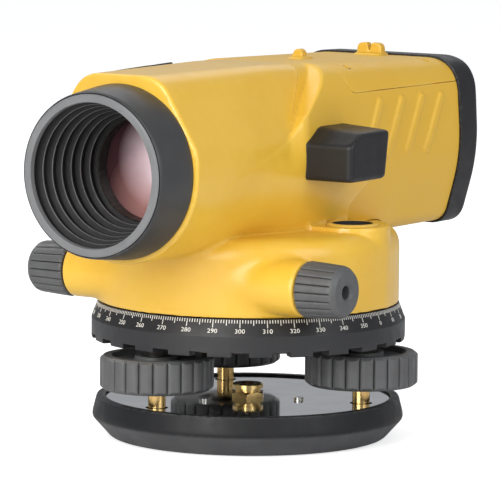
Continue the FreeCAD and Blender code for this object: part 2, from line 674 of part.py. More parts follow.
# ---- objective and focusing ------------------------------------------------------------------
def objective_hood():
    """The hood in front of the objective, with a stepped bore against stray light."""
    ridges, bore_front, bore_rear = 7, 22.6, 17.0
    inner_end = LENS_FRONT - 2.5
    pitch = (inner_end - HOOD_FRONT - 1.4) / ridges
    bore = [(23.4, HOOD_FRONT + 0.2), (bore_front, HOOD_FRONT + 1.4)]
    for i in range(ridges):
        station = HOOD_FRONT + 1.4 + pitch * i
        lip = bore_front + (bore_rear - bore_front) * (i + 1) / ridges
        previous = bore_front + (bore_rear - bore_front) * i / ridges
        bore += [(previous, station + 0.5), (previous + 0.9, station + 0.9),
                 (previous + 0.9, station + pitch - 0.4), (lip, station + pitch)]
    outside = [(24.5, inner_end), (24.5, HOOD_REAR), (HOOD_RADIUS_REAR, HOOD_REAR),
               (HOOD_RADIUS_REAR - 0.1, HOOD_REAR - 1.5), (HOOD_RADIUS_FRONT, HOOD_FRONT + 1.5),
               (HOOD_RADIUS_FRONT - 0.5, HOOD_FRONT + 0.4), (HOOD_RADIUS_FRONT - 1.3, HOOD_FRONT),
               (23.8, HOOD_FRONT)]
    return turned(bore + outside, "y", (0, AXIS_Z))


def objective_cell():
    return turned([(17.05, LENS_FRONT - 2.4), (24.0, LENS_FRONT - 2.4), (24.0, LENS_FRONT + 12.0),
                   (15.5, LENS_FRONT + 12.0), (15.5, LENS_FRONT + 10.0), (17.05, LENS_FRONT + 10.0)],
                  "y", (0, AXIS_Z))


def objective_crown():
    disc = cylinder(17.0, LENS_FRONT, LENS_FRONT + 6.0, "y", (0, AXIS_Z))
    front = sphere(75.0, 0, LENS_FRONT + 75.0, AXIS_Z)
    rear = sphere(90.0, 0, LENS_FRONT + 6.0 - 90.0, AXIS_Z)
    return disc.common(front).common(rear)


def objective_flint():
    disc = cylinder(17.0, LENS_FRONT + 4.5, LENS_FRONT + 9.9, "y", (0, AXIS_Z))
    return disc.cut(sphere(90.0, 0, LENS_FRONT + 6.05 - 90.0, AXIS_Z))


def focusing_tube():
    """The guide of the focusing lens, with a slot for the rack's arm."""
    body = tube(15.6, FOCUS_CELL_RADIUS + 0.05, -47.0, -6.0, "y", (0, AXIS_Z))
    slot = block(-30, -8, -44.5, -7.5, RACK_Z - 4.2, RACK_Z + 0.8)
    flange = tube(22.0, 15.6, -47.0, -45.2, "y", (0, AXIS_Z))
    notch = block(-30, -17, -48, -44, RACK_Z - 4.2, RACK_Z + 1.2)
    return united([body, flange]).cut(slot).cut(notch)


def focusing_cell():
    """The sliding cell of the focusing lens, with its rack on an arm."""
    barrel = tube(FOCUS_CELL_RADIUS, 11.0, FOCUS_Y - 5.5, FOCUS_Y + 5.5, "y", (0, AXIS_Z))
    arm = block(RACK_INNER_X, -12.0, FOCUS_Y - 2.0, FOCUS_Y + 2.0, RACK_Z - 3.4, RACK_Z - 1.0)
    bar = block(RACK_INNER_X, RACK_OUTER_X, FOCUS_Y - 13.5, FOCUS_Y + 13.5, RACK_Z - 3.4, RACK_Z - 0.5)
    pitch = math.pi * PINION_MODULE
    teeth = []
    for i in range(-10, 10):
        middle = FOCUS_Y + pitch * (i + 0.5)
        outline = [(middle - 0.38, RACK_Z - 0.55), (middle - 0.09, RACK_Z + 0.28),
                   (middle + 0.09, RACK_Z + 0.28), (middle + 0.38, RACK_Z - 0.55)]
        teeth.append(side_prism(outline, RACK_INNER_X, RACK_OUTER_X))
    return united([barrel, arm, bar] + teeth)


def focusing_lens():
    disc = cylinder(11.0, FOCUS_Y - 2.5, FOCUS_Y + 2.5, "y", (0, AXIS_Z))
    hollows = [sphere(60.0, 0, FOCUS_Y - 1.2 - 60.0, AXIS_Z), sphere(60.0, 0, FOCUS_Y + 1.2 + 60.0, AXIS_Z)]
    return disc.cut(Part.makeCompound(hollows))


def focusing_pinion():
    """The pinion, in one piece with the shaft that carries the focusing knob."""
    points = []
    step = 360.0 / PINION_TEETH
    tip, root = PINION_RADIUS + 0.30, PINION_RADIUS - 0.50
    for i in range(PINION_TEETH):
        middle = -90 + step * i
        for radius, share in ((root, -0.24), (PINION_RADIUS, -0.19), (tip, -0.08),
                              (tip, 0.08), (PINION_RADIUS, 0.19), (root, 0.24)):
            y, z = on_circle(radius, middle + share * step)
            points.append((FOCUS_Y + y, PINION_Z + z))
    gear = side_prism(points, RACK_INNER_X - 0.5, RACK_OUTER_X + 0.5)
    shaft = cylinder(1.7, -44.0, RACK_OUTER_X + 0.5, "x", (FOCUS_Y, PINION_Z))
    collar = cylinder(3.0, -27.2, -25.2, "x", (FOCUS_Y, PINION_Z))
    return united([gear, shaft, collar])


def focusing_knob():
    length = FOCUS_KNOB_ROOT - FOCUS_KNOB_END
    profile = [(1.7, 0), (FOCUS_KNOB_RADIUS - 1.6, 0), (FOCUS_KNOB_RADIUS - 0.8, 0.8),
               (FOCUS_KNOB_RADIUS - 1.2, length - 1.8), (FOCUS_KNOB_RADIUS - 3.0, length),
               (5.5, length), (4.8, length - 1.0), (0, length - 1.0), (0, length - 3.5), (1.7, length - 3.5)]
    knob = turned(profile, "x")
    ribs = []
    for i in range(30):
        y, z = on_circle(FOCUS_KNOB_RADIUS - 1.0, 12 * i)
        ribs.append(cylinder(1.0, 0.6, length - 1.8, "x", (y, z)))
    knob = united([knob] + ribs)
    knob = knob.mirror(vector(0, 0, 0), vector(1, 0, 0))
    return moved(knob, FOCUS_KNOB_ROOT, FOCUS_Y, PINION_Z)


# ---- compensator -----------------------------------------------------------------------------
def compensator_frame():
    """The bracket that carries the fixed roof prism and the suspension of the pendulum."""
    sides = [block(x - 1.2, x + 1.2, FRAME_FRONT, FRAME_REAR, 69.0, 116.0) for x in (-21.0, 21.0)]
    top = block(-22.2, 22.2, FRAME_FRONT, FRAME_REAR, 113.6, 116.0)
    bottom = block(-22.2, 22.2, FRAME_FRONT, FRAME_REAR, 69.0, 71.4)
    return united(sides + [top, bottom])


def roof_prism():
    """The fixed prism under the top of the frame, which turns the image upright."""
    prism = side_prism([(10.0, 113.4), (34.0, 113.4), (22.0, 101.5)], -9.0, 9.0)
    return prism


def pendulum():
    """The swinging carrier of the two small prisms, with a copper damping vane below."""
    bar = block(-16.0, 16.0, 13.0, 31.0, 83.2, 85.4)
    arms = [block(x - 1.0, x + 1.0, 18.0, 26.0, 85.4, PENDULUM_Z - 2.0) for x in (-TAPE_X, TAPE_X)]
    weight = block(-9.0, 9.0, 16.0, 28.0, 79.0, 83.2)
    vane = block(-5.0, 5.0, 21.4, 22.6, 74.6, 79.0)
    return united([bar, weight, vane] + arms)


def pendulum_prisms():
    front = side_prism([(13.2, 85.5), (21.6, 85.5), (13.2, 93.9)], -8.0, 8.0)
    rear = side_prism([(30.8, 85.5), (22.4, 85.5), (30.8, 93.9)], -8.0, 8.0)
    return [front, rear]


def suspension_tapes():
    tapes = []
    for x in (-TAPE_X, TAPE_X):
        for y in (19.0, 25.0):
            tapes.append(block(x - 0.8, x + 0.8, y - 0.05, y + 0.05, PENDULUM_Z - 1.8, 113.6))
    return tapes


def damping_magnet():
    body = block(-6.0, 6.0, 17.0, 27.0, 71.4, 77.6)
    return body.cut(block(-7.0, 7.0, 20.2, 23.8, 73.4, 80.0))


# ---- reticle and eyepiece --------------------------------------------------------------------
def reticle_ring():
    ring = tube(9.0, 6.0, RETICLE_Y - 2.5, RETICLE_Y + 2.5, "y", (0, AXIS_Z))
    return ring.cut(tube(7.1, 5.0, RETICLE_Y + 0.5, RETICLE_Y + 3.0, "y", (0, AXIS_Z)))


def reticle_glass():
    return cylinder(7.05, RETICLE_Y + 0.6, RETICLE_Y + 2.1, "y", (0, AXIS_Z))


def reticle_screws():
    screws = []
    for x, z in ((1, 0), (-1, 0), (0, 1), (0, -1)):
        screw = Part.makeCylinder(1.2, 6.5, vector(9.05 * x, RETICLE_Y, AXIS_Z + 9.05 * z), vector(x, 0, z))
        screws.append(screw)
    return screws


def eyepiece_tube():
    """The fixed tube that holds the reticle by its adjusting screws and guides the eyepiece."""
    front = RETICLE_Y - 5.0
    body = turned([(13.0, front), (15.0, front), (15.0, 97.0), (13.0, 97.0), (13.0, 110.5),
                   (10.55, 110.5), (10.55, 84.0), (13.0, 84.0)], "y", (0, AXIS_Z))
    holes = [cylinder(1.2, -20, 20, "x", (RETICLE_Y, AXIS_Z)), cylinder(1.2, 70, 120, at=(0, RETICLE_Y))]
    return body.cut(Part.makeCompound(holes))


def eyepiece_ring():
    """The knurled ring that focuses the eyepiece on the cross hairs."""
    ring = turned([(13.05, 97.2), (15.6, 97.2), (16.2, 97.8), (16.2, 109.4), (15.2, 110.6), (13.05, 110.6)],
                  "y", (0, AXIS_Z))
    ribs = []
    for i in range(28):
        x, z = on_circle(16.0, 360.0 / 28 * i)
        ribs.append(cylinder(0.8, 98.6, 108.8, "y", (x, AXIS_Z + z)))
    return united([ring] + ribs)


def eyecup():
    return turned([(11.6, 110.7), (15.4, 110.7), (15.6, 115.5), (14.6, 117.5), (9.0, 117.5), (8.2, 116.2),
                   (8.2, 114.4), (11.6, 113.6)], "y", (0, AXIS_Z))


def eyepiece_lens_tube():
    return tube(10.5, 8.0, 92.0, 110.5, "y", (0, AXIS_Z))


def eyepiece_lenses():
    lenses = []
    for start, thickness, radius in ((93.5, 3.6, 7.95), (98.2, 3.6, 7.95), (105.0, 4.0, 7.95)):
        disc = cylinder(radius, start, start + thickness, "y", (0, AXIS_Z))
        dome = sphere(16.0, 0, start + 16.0, AXIS_Z).common(sphere(16.0, 0, start + thickness - 16.0, AXIS_Z))
        lenses.append(disc.common(dome))
    return lenses


# ---- all the nodes ---------------------------------------------------------------------------
def build():
    seats = {foot: foot_seat(*foot_place(foot)) for foot in FOOT_ANGLES}
    collars = {foot: foot_collar(*foot_place(foot)) for foot in FOOT_ANGLES}
    nodes = {
        "base_plate": base_plate(),
        "spring_plate": spring_plate(),
        "spring_plate_screws": spring_plate_screws(),
        "centre_nut": centre_nut(),
        "foot_sockets_ab": [seats["a"], seats["b"], collars["a"], collars["b"]],
        "foot_seat_c": seats["c"],
        "foot_collar_c": collars["c"],
        "trivet": trivet(),
        "spindle": spindle(),
        "circle_ring": circle_ring(),
        "clutch_washers": clutch_washers(),
        "worm_wheel": worm_wheel(),
        "axis_bush": axis_bush(),
        "axis_retainer": axis_retainer(),
        "main_housing": main_housing(),
        "rear_cover": rear_cover(),
        "top_lid": top_lid(),
        "lid_screws": lid_screws(),
        "rear_cap": rear_cap(),
        "rear_cap_screws": cap_screws(),
        "side_cover": side_cover(),
        "prism_housing": prism_housing(),
        "bubble_prism": bubble_prism(),
        "vial_holder": vial_holder(),
        "circular_vial": vial(),
        "objective_hood": objective_hood(),
        "objective_cell": objective_cell(),
        "objective_lenses": [objective_crown(), objective_flint()],
        "focusing_tube": focusing_tube(),
        "focusing_cell": focusing_cell(),
        "focusing_lens": focusing_lens(),
        "focusing_pinion": focusing_pinion(),
        "focusing_knob": focusing_knob(),
        "compensator_frame": compensator_frame(),
        "roof_prism": roof_prism(),
        "pendulum": pendulum(),
        "pendulum_prisms": pendulum_prisms(),
        "suspension_tapes": suspension_tapes(),
        "damping_magnet": damping_magnet(),
        "reticle_ring": reticle_ring(),
        "reticle_glass": reticle_glass(),
        "reticle_screws": reticle_screws(),
        "eyepiece_tube": eyepiece_tube(),
        "eyepiece_lens_tube": eyepiece_lens_tube(),
        "eyepiece_lenses": eyepiece_lenses(),
        "eyepiece_ring": eyepiece_ring(),
        "eyecup": eyecup(),
        "tangent_screw": tangent_screw(),
        "tangent_bushes": tangent_bushes(),
        "tangent_knob_left": tangent_knob(1),
        "tangent_knob_right": tangent_knob(-1),
    }
    for foot in FOOT_ANGLES:
        nodes["foot_screw_" + foot] = foot_screw(*foot_place(foot))
        nodes["foot_nut_" + foot] = foot_nut(*foot_place(foot))
        nodes["foot_knob_" + foot] = foot_knob(*foot_place(foot))
    return nodes


os.makedirs("parts", exist_ok=True)
for node_name, node_shape in build().items():
    save(node_name, node_shape)
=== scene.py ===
import functools
import json
import math

import bmesh
import bpy
import numpy as np
from mathutils import Matrix, Vector


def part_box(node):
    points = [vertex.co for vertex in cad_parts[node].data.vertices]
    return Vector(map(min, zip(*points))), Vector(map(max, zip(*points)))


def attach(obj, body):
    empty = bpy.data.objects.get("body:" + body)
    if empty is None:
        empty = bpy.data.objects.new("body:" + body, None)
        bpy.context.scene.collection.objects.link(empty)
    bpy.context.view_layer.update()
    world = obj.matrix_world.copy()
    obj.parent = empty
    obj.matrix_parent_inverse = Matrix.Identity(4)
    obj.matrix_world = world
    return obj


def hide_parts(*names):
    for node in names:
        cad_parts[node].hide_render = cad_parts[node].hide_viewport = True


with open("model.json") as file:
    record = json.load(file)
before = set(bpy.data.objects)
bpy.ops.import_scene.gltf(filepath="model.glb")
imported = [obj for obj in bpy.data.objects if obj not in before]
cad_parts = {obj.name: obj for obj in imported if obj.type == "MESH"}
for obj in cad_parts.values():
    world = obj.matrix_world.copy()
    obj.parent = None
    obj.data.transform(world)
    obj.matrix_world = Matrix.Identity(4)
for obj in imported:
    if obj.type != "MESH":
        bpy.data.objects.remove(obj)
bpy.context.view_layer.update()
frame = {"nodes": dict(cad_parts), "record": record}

# An automatic (self-levelling) surveyor's level. Lengths are in millimetres unless a name says
# otherwise. Most places come from the frame's boxes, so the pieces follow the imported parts.
MM = 0.001
SHARP_ANGLE = math.radians(32)


def span(node):
    """Lowest and highest corner of a CAD node, in millimetres."""
    low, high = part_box(node)
    return low / MM, high / MM


def middle(node):
    """Centre of a CAD node's box, in millimetres."""
    return [(low + high) / 2 for low, high in zip(*span(node))]


# ---- driving sizes: from the frame where the part has them, else stated here ----
HOUSING_LOW, HOUSING_HIGH = span("main_housing")
HOOD_LOW, HOOD_HIGH = span("objective_hood")
BOX_LOW, BOX_HIGH = span("prism_housing")
SIDE_COVER_LOW, SIDE_COVER_HIGH = span("side_cover")
RING_LOW, RING_HIGH = span("circle_ring")
BASE_HIGH = span("base_plate")[1]

AXIS_Z = middle("objective_hood")[2]  # height of the line of sight
LINE_OF_SIGHT = (0.0, AXIS_Z)  # x and z
TOP_FRONT = HOUSING_HIGH.z
TOP_REAR = TOP_FRONT - 2.8
BODY_FRONT = HOUSING_LOW.y
BODY_REAR = span("rear_cover")[1].y
CAP_REAR = span("rear_cap")[1].y
WALL = 2.3
SEAM_GAP = 0.05  # half the clearance along the parting line
LID_GAP = 0.12
TOUCH_GAP = 0.05  # between a cover and the body that it lies on

FRONT_RADIUS = 30.0  # barrel around the objective
SLOPE_FOOT = AXIS_Z + 7.5  # where the upright sides turn into the front's slopes
FRONT_HALF_TOP = 15.0
FRONT_WIDENING = 2.4
REAR_BOTTOM = AXIS_Z - 28.6
REAR_HALF_BOTTOM = 27.3
WAIST_Z = AXIS_Z - 4.5  # the widest height of the rear body
HALF_WAIST = 34.2
REAR_HALF_TOP = 29.0
REAR_WIDENING = 3.0
STEP_FRONT = -22.0  # the upper half widens between these two stations
STEP_REAR = -14.0
FLARE_FRONT = -46.0  # the lower half widens gently from here
FLARE_LENGTH = 50.0
FACET_POINT = (26.9, -6.8, 115.6)  # a slanted face joins the narrow top to the wide one
FACET_NORMAL = (-0.174, -0.632, 0.755)

SEAM_FRONT = -13.5  # stations of the parting line, from the top down
SEAM_STEP = 1.0
SEAM_REAR = 15.0
SEAM_SHOULDER_Z = 111.5
SEAM_SIDE_Z = 97.0
SEAM_CORNER_Z = 79.0
LID_FRONT = 13.5
LID_EDGE = AXIS_Z + 20.9
LID_SCREW_X = 24.5
LID_SCREW_STATIONS = (22.0, 74.0)
GRIP_RIBS = [(31.7, 112.2), (45.4, 112.0), (58.2, 112.2), (70.8, 111.8)]  # upper ends, y and z
GRIP_RUN = (-11.0, -17.0)
GRIP_HEIGHT = 0.75

DRUM_RADIUS = HOUSING_HIGH.x
DRUM_BOTTOM = HOUSING_LOW.z
DRUM_TOP = DRUM_BOTTOM + 25.7
DRUM_WALL = 2.8
DRUM_CEILING = 61.8
ROOM_FLOOR = 68.5  # of the telescope's inside, above the drum
WORM_CENTRE = middle("tangent_screw")[1:]  # y and z
BOSS_RADIUS = 9.2
BOSS_END = -span("tangent_knob_right")[1].x - 0.4
VIAL_CENTRE = middle("vial_holder")[:2]  # x and y
VIAL_TOP = span("vial_holder")[1].z
VIAL_BOSS_RADIUS = 12.6
PINION_CENTRE = middle("focusing_knob")[1:]

THREAD_PITCH = 2.309  # tripod thread, 11 threads per inch
THREAD_RADIUS = 6.75
THREAD_DEPTH = 9.0
FOOT_PLACES = [middle("foot_nut_" + foot) for foot in "abc"]
RING_RIM_Z = RING_LOW.z + 6.9  # where the circle's plain rim turns into its cone
RING_EDGE_RADIUS = RING_HIGH.x - 2.2

CELL = 0.8
FINE_CELL = 0.6


# ---- meshes ----
def add_object(name, data):
    obj = bpy.data.objects.new(name, data)
    bpy.context.scene.collection.objects.link(obj)
    return obj


def add_piece(name, points, faces, body, slot, replaces=(), material=None):
    """A new smooth-shaded mesh piece from points in millimetres, riding on a CAD body. Its
    material is the one of its slot, unless another is named."""
    mesh = bpy.data.meshes.new(name)
    mesh.from_pydata((np.asarray(points) * MM).tolist(), [], np.asarray(faces).tolist())
    mesh.validate()
    tool = bmesh.new()
    tool.from_mesh(mesh)
    bmesh.ops.remove_doubles(tool, verts=tool.verts, dist=1e-7)
    bmesh.ops.dissolve_degenerate(tool, edges=tool.edges, dist=1e-8)
    bmesh.ops.recalc_face_normals(tool, faces=tool.faces)
    tool.to_mesh(mesh)
    tool.free()
    mesh.polygons.foreach_set("use_smooth", [True] * len(mesh.polygons))
    mesh.set_sharp_from_angle(angle=SHARP_ANGLE)
    mesh.materials.append(MATERIALS[material or slot])
    obj = add_object(name, mesh)
    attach(obj, body)
    if replaces:
        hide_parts(*replaces)
    return obj


def soft_max(a, b, width):
    """The larger of two distances, with the edge between them rounded over a width."""
    share = np.maximum(width - np.abs(a - b), 0.0) / width
    return np.maximum(a, b) + share * share * width / 4


def soft_min(a, b, width):
    return -soft_max(-a, -b, width)


def trimmed(body, *cuts):
    """The body cut by further fields, each with the width of its rounding."""
    for field, width in cuts:
        body = soft_max(body, field, width)
    return body


def soft_clamp(share, width):
    """A share kept between 0 and 1, with rounded ends."""
    return soft_min(soft_max(share, 0.0, width), 1.0, width)


def smooth_step(share):
    share = np.clip(share, 0.0, 1.0)
    return share * share * (3 - 2 * share)


def common(*fields):
    """The room that lies inside every one of the fields."""
    return functools.reduce(np.maximum, fields)


def joined(*fields):
    """The room that lies inside any of the fields."""
    return functools.reduce(np.minimum, fields)


def slab(value, start, end):
    return np.maximum(start - value, value - end)


def disc(u, v, centre, radius):
    """Distance outside a circle in the plane of two coordinates."""
    return np.hypot(u - centre[0], v - centre[1]) - radius


def crossings(field, starts, axis, cell, steps=5):
    """Where the surface cuts grid edges that start at points and run one cell along an axis."""
    low, high = starts.copy(), starts.copy()
    high[:, axis] += cell
    low_value, high_value = field(*low.T), field(*high.T)
    for _ in range(steps):
        share = low_value / (low_value - high_value)
        middle = low + (high - low) * np.clip(share, 0.05, 0.95)[:, None]
        value = field(*middle.T)
        same = (value < 0) == (low_value < 0)
        low[same], low_value[same] = middle[same], value[same]
        high[~same], high_value[~same] = middle[~same], value[~same]
    share = low_value / (low_value - high_value)
    return low + (high - low) * np.clip(share, 0.0, 1.0)[:, None]


def gradients(field, points, reach=0.02):
    """Unit normals of the field at points."""
    normals = np.empty_like(points)
    for axis in range(3):
        ahead, behind = points.copy(), points.copy()
        ahead[:, axis] += reach
        behind[:, axis] -= reach
        normals[:, axis] = field(*ahead.T) - field(*behind.T)
    return normals / np.maximum(np.linalg.norm(normals, axis=1), 1e-12)[:, None]


def contour(field, low, high, cell, pull=0.04):
    """Points and quads of the surface where a distance field, negative inside, is zero. Dual
    contouring keeps its edges sharp; pull holds a point to the middle of its crossings."""
    low = np.asarray(low, float) - 2.37 * cell
    counts = np.ceil((np.asarray(high, float) + 2 * cell - low) / cell).astype(int) + 1
    grid = np.ix_(*[low[axis] + cell * np.arange(counts[axis]) for axis in range(3)])
    inside = np.broadcast_to(field(*grid) < 0, counts)
    cells = counts - 1
    total = int(np.prod(cells))
    sums = np.zeros((total, 12))
    hits = np.zeros(total)
    quads = []
    for axis in range(3):
        others = [(axis + 1) % 3, (axis + 2) % 3]
        first = np.take(inside, range(counts[axis] - 1), axis)
        second = np.take(inside, range(1, counts[axis]), axis)
        edges = np.argwhere(first != second)
        limits = [edges[:, other] > 0 for other in others]
        limits += [edges[:, other] < counts[other] - 1 for other in others]
        edges = edges[np.logical_and.reduce(limits)]
        leaving = first[tuple(edges.T)]
        points = crossings(field, low + edges * cell, axis, cell)
        normals = gradients(field, points)
        pairs = [normals[:, i] * normals[:, j] for i in range(3) for j in range(i, 3)]
        reaches = normals * np.sum(normals * points, axis=1)[:, None]
        products = np.column_stack(pairs + [reaches, points])
        corners = []
        for shift in ((0, 0), (1, 0), (1, 1), (0, 1)):
            around = edges.copy()
            around[:, others[0]] -= shift[0]
            around[:, others[1]] -= shift[1]
            flat = np.ravel_multi_index(tuple(around.T), cells)
            corners.append(flat)
            hits += np.bincount(flat, minlength=total)
            for column in range(12):
                sums[:, column] += np.bincount(flat, products[:, column], total)
        faces = np.column_stack(corners)
        faces[leaving] = faces[leaving][:, ::-1]
        quads.append(faces)
    used = np.flatnonzero(hits)
    sums, hits = sums[used], hits[used]
    centre = sums[:, 9:12] / hits[:, None]
    matrix = sums[:, [0, 1, 2, 1, 3, 4, 2, 4, 5]].reshape(-1, 3, 3)
    right = sums[:, 6:9] - np.einsum("nij,nj->ni", matrix, centre)
    offset = np.linalg.solve(matrix + pull * np.eye(3), right[:, :, None])[:, :, 0]
    corner = low + np.column_stack(np.unravel_index(used, cells)) * cell
    points = np.clip(centre + offset, corner, corner + cell)
    number = np.full(total, -1)
    number[used] = np.arange(len(used))
    return points, number[np.vstack(quads)]


def rounded_outline(corners, arc_steps=5):
    """Points of a closed outline from (radius, station, rounding) corners."""
    points = []
    count = len(corners)
    for i, (radius, station, rounding) in enumerate(corners):
        here = np.array([radius, station], float)
        if rounding <= 0:
            points.append(here)
            continue
        back = np.array(corners[i - 1][:2], float) - here
        ahead = np.array(corners[(i + 1) % count][:2], float) - here
        back_length, ahead_length = np.linalg.norm(back), np.linalg.norm(ahead)
        cosine = np.clip(back @ ahead / (back_length * ahead_length), -1, 1)
        reach = rounding / max(math.tan(math.acos(cosine) / 2), 1e-6)
        reach = min(reach, 0.48 * back_length, 0.48 * ahead_length)
        start = here + back / back_length * reach
        end = here + ahead / ahead_length * reach
        for step in range(arc_steps + 1):
            t = step / arc_steps
            points.append((1 - t) ** 2 * start + 2 * t * (1 - t) * here + t * t * end)
    return np.array(points)


def with_steps(outline, longest):
    """The outline with its long stretches divided, so that ribs can be cut across them."""
    points = []
    for here, ahead in zip(outline, np.roll(outline, -1, axis=0)):
        parts = max(1, math.ceil(np.linalg.norm(ahead - here) / longest))
        points += [here + (ahead - here) * part / parts for part in range(parts)]
    return np.array(points)


def lathe(outline, angles, axis="z", centre=(0.0, 0.0), shape=None, start=0.0, direction=1):
    """A closed outline of (radius, station) points turned about an axis. Shape may move the
    points: it takes and returns radius and station for arrays of angle, radius and station.
    Stations count from start, in a direction of 1 or -1 along the axis."""
    angle = np.asarray(angles, float)[:, None]
    radius = np.broadcast_to(outline[:, 0], (len(angles), len(outline)))
    station = np.broadcast_to(outline[:, 1], radius.shape)
    if shape:
        radius, station = shape(angle, radius, station)
    station = start + direction * station
    columns = [radius * np.cos(angle) + centre[0], radius * np.sin(angle) + centre[1]]
    columns.insert("xyz".index(axis), station)
    points = np.stack(columns, axis=-1).reshape(-1, 3)
    rows, width = len(angles), len(outline)
    row, column = np.meshgrid(np.arange(rows), np.arange(width), indexing="ij")
    next_row, next_column = (row + 1) % rows, (column + 1) % width
    faces = np.stack([row * width + column, next_row * width + column,
                      next_row * width + next_column, row * width + next_column], axis=-1)
    return points, faces.reshape(-1, 4)


def full_turn(segments):
    return np.arange(segments) * 2 * math.pi / segments


def lobes(angle, count, power):
    """1 along the middle of each rib and 0 in the grooves between ribs."""
    place = 2 * np.mod(angle * count / (2 * math.pi), 1.0) - 1
    return np.sqrt(np.maximum(1 - np.abs(place) ** power, 0.0))


# ---- telescope body and drum as distance fields ----
def line_distance(x, z, start, end):
    """Distance outside a straight side that runs upward from start to end, on the +X half."""
    (x0, z0), (x1, z1) = start, end
    length = np.hypot(x1 - x0, z1 - z0)
    return ((x - x0) * (z1 - z0) - (z - z0) * (x1 - x0)) / length


def lid_height(y):
    """The flat top falls a little towards the eyepiece."""
    return TOP_FRONT + (TOP_REAR - TOP_FRONT) * (y - STEP_REAR) / (BODY_REAR - STEP_REAR)


def front_section(x, y, z):
    """The narrow front: a barrel below, upright sides, slopes and a flat top."""
    share = np.clip((y - BODY_FRONT) / (STEP_FRONT - BODY_FRONT), 0.0, 1.65)
    half_top = FRONT_HALF_TOP + FRONT_WIDENING * share
    top = np.minimum(TOP_FRONT, lid_height(y))
    side = np.abs(x)
    slope = line_distance(side, z, (FRONT_RADIUS, SLOPE_FOOT), (half_top, top))
    roof = trimmed(side - FRONT_RADIUS, (slope, 2.0), (z - top, 5.5))
    return np.where(z < AXIS_Z, disc(x, z, LINE_OF_SIGHT, FRONT_RADIUS), roof)


def rear_section(x, y, z):
    """The wider rear: bulging sides with rounded corners."""
    share = np.clip((y - STEP_REAR) / (BODY_REAR - STEP_REAR), 0.0, 1.3)
    top = lid_height(y)
    side = np.abs(x)
    waist = (HALF_WAIST, WAIST_Z)
    lower = line_distance(side, z, (REAR_HALF_BOTTOM, REAR_BOTTOM), waist)
    upper = line_distance(side, z, waist, (REAR_HALF_TOP + REAR_WIDENING * share, top))
    return trimmed(lower, (upper, 3.6), (REAR_BOTTOM - z, 5.6), (z - top, 12.5))


def ahead_of_facet(x, y, z):
    """Positive in front of and above the slanted faces where the upper half widens."""
    along = (np.abs(x) - FACET_POINT[0]) * FACET_NORMAL[0]
    return along + (y - FACET_POINT[1]) * FACET_NORMAL[1] + (z - FACET_POINT[2]) * FACET_NORMAL[2]


def telescope(x, y, z):
    """The whole telescope body. Its upper half widens in a step, its lower half gently."""
    upper = soft_clamp((y - STEP_FRONT) / (STEP_REAR - STEP_FRONT), 0.3)
    lower = smooth_step((y - FLARE_FRONT) / FLARE_LENGTH)
    height = smooth_step((z - AXIS_Z + 6.0) / 14.0)
    share = lower + (upper - lower) * height
    front = front_section(x, y, z)
    wide = front * (1 - share) + rear_section(x, y, z) * share
    # The slanted face fades out on the lower half.
    wide = soft_max(wide, ahead_of_facet(x, y, z) - 14.0 * (1 - height), 0.8)
    body = np.where(y < LID_FRONT, soft_min(front, wide, 0.5), wide)
    return common(soft_max(body, BODY_FRONT - y, 1.2), y - BODY_REAR)


def vial_boss(x, y, z):
    """The upright rounded block beside the telescope that holds the circular vial."""
    column = disc(np.maximum(x, VIAL_CENTRE[0]), y, VIAL_CENTRE, VIAL_BOSS_RADIUS)
    return soft_max(common(column, 20.0 - x), z - (VIAL_TOP - 0.6), 0.8)


def drum(x, y, z):
    """The round housing over the worm wheel, with bosses for the tangent screw and the vial."""
    body = soft_max(np.hypot(x, y) - DRUM_RADIUS, z - DRUM_TOP, 7.5)
    boss = soft_max(disc(y, z, WORM_CENTRE, BOSS_RADIUS), np.abs(x) - BOSS_END, 1.4)
    body = soft_min(body, boss, 2.8)
    body = soft_min(body, vial_boss(x, y, z), 0.8)
    return soft_max(body, DRUM_BOTTOM - z, 0.8)


def behind_seam(y, z):
    """Negative behind the parting line between the main housing and the rear cover. The line
    runs down behind the slanted face, back along the side, and down again above the vial."""
    slanted = ((z - SEAM_SHOULDER_Z) * 14.5 - (y - SEAM_FRONT) * 14.0) / 20.2
    upper = common(SEAM_FRONT - y, joined(slanted, SEAM_STEP - y))
    upper = soft_max(upper, (SEAM_SIDE_Z - z) * 0.965 - (y - SEAM_FRONT) * 0.264, 1.5)
    lower = common(SEAM_REAR - y, (SEAM_REAR - y) * 0.645 + (z - SEAM_CORNER_Z) * 0.764)
    return joined(upper, lower)


def lid_region(y, z):
    """Negative inside the lid's outline, seen from the side."""
    return soft_max(LID_FRONT - y, LID_EDGE - z, 5.0)


def drum_cavity(x, y, z):
    """The room inside the drum, with bearings and a bore for the worm."""
    inside = common(np.hypot(x, y) - DRUM_RADIUS + DRUM_WALL, z - DRUM_CEILING)
    from_worm = disc(y, z, WORM_CENTRE, 0.0)
    bearing = common(from_worm - 8.5, 32.0 - np.abs(x))
    shaft = common(from_worm - 5.0, slab(np.abs(x), 26.0, 60.0))
    worm_room = common(from_worm - 6.6, np.abs(x) - 9.0)
    return joined(common(inside, -bearing), shaft, worm_room)


def housing_holes(x, y, z):
    """Negative inside the openings of the main housing."""
    from_axis = np.hypot(x, y)
    bush = common(from_axis - 11.0, slab(z, 58.0, 66.0))
    retainer = common(from_axis - 12.5, slab(z, 65.0, 70.0))
    well = common(disc(x, y, VIAL_CENTRE, 8.9), slab(z, 66.0, VIAL_TOP + 0.6))
    front = common(disc(x, z, LINE_OF_SIGHT, 24.6), y - BODY_FRONT - 5.0)
    pinion = common(disc(y, z, PINION_CENTRE, 2.0), x + 20.0)
    return joined(bush, retainer, well, front, pinion)


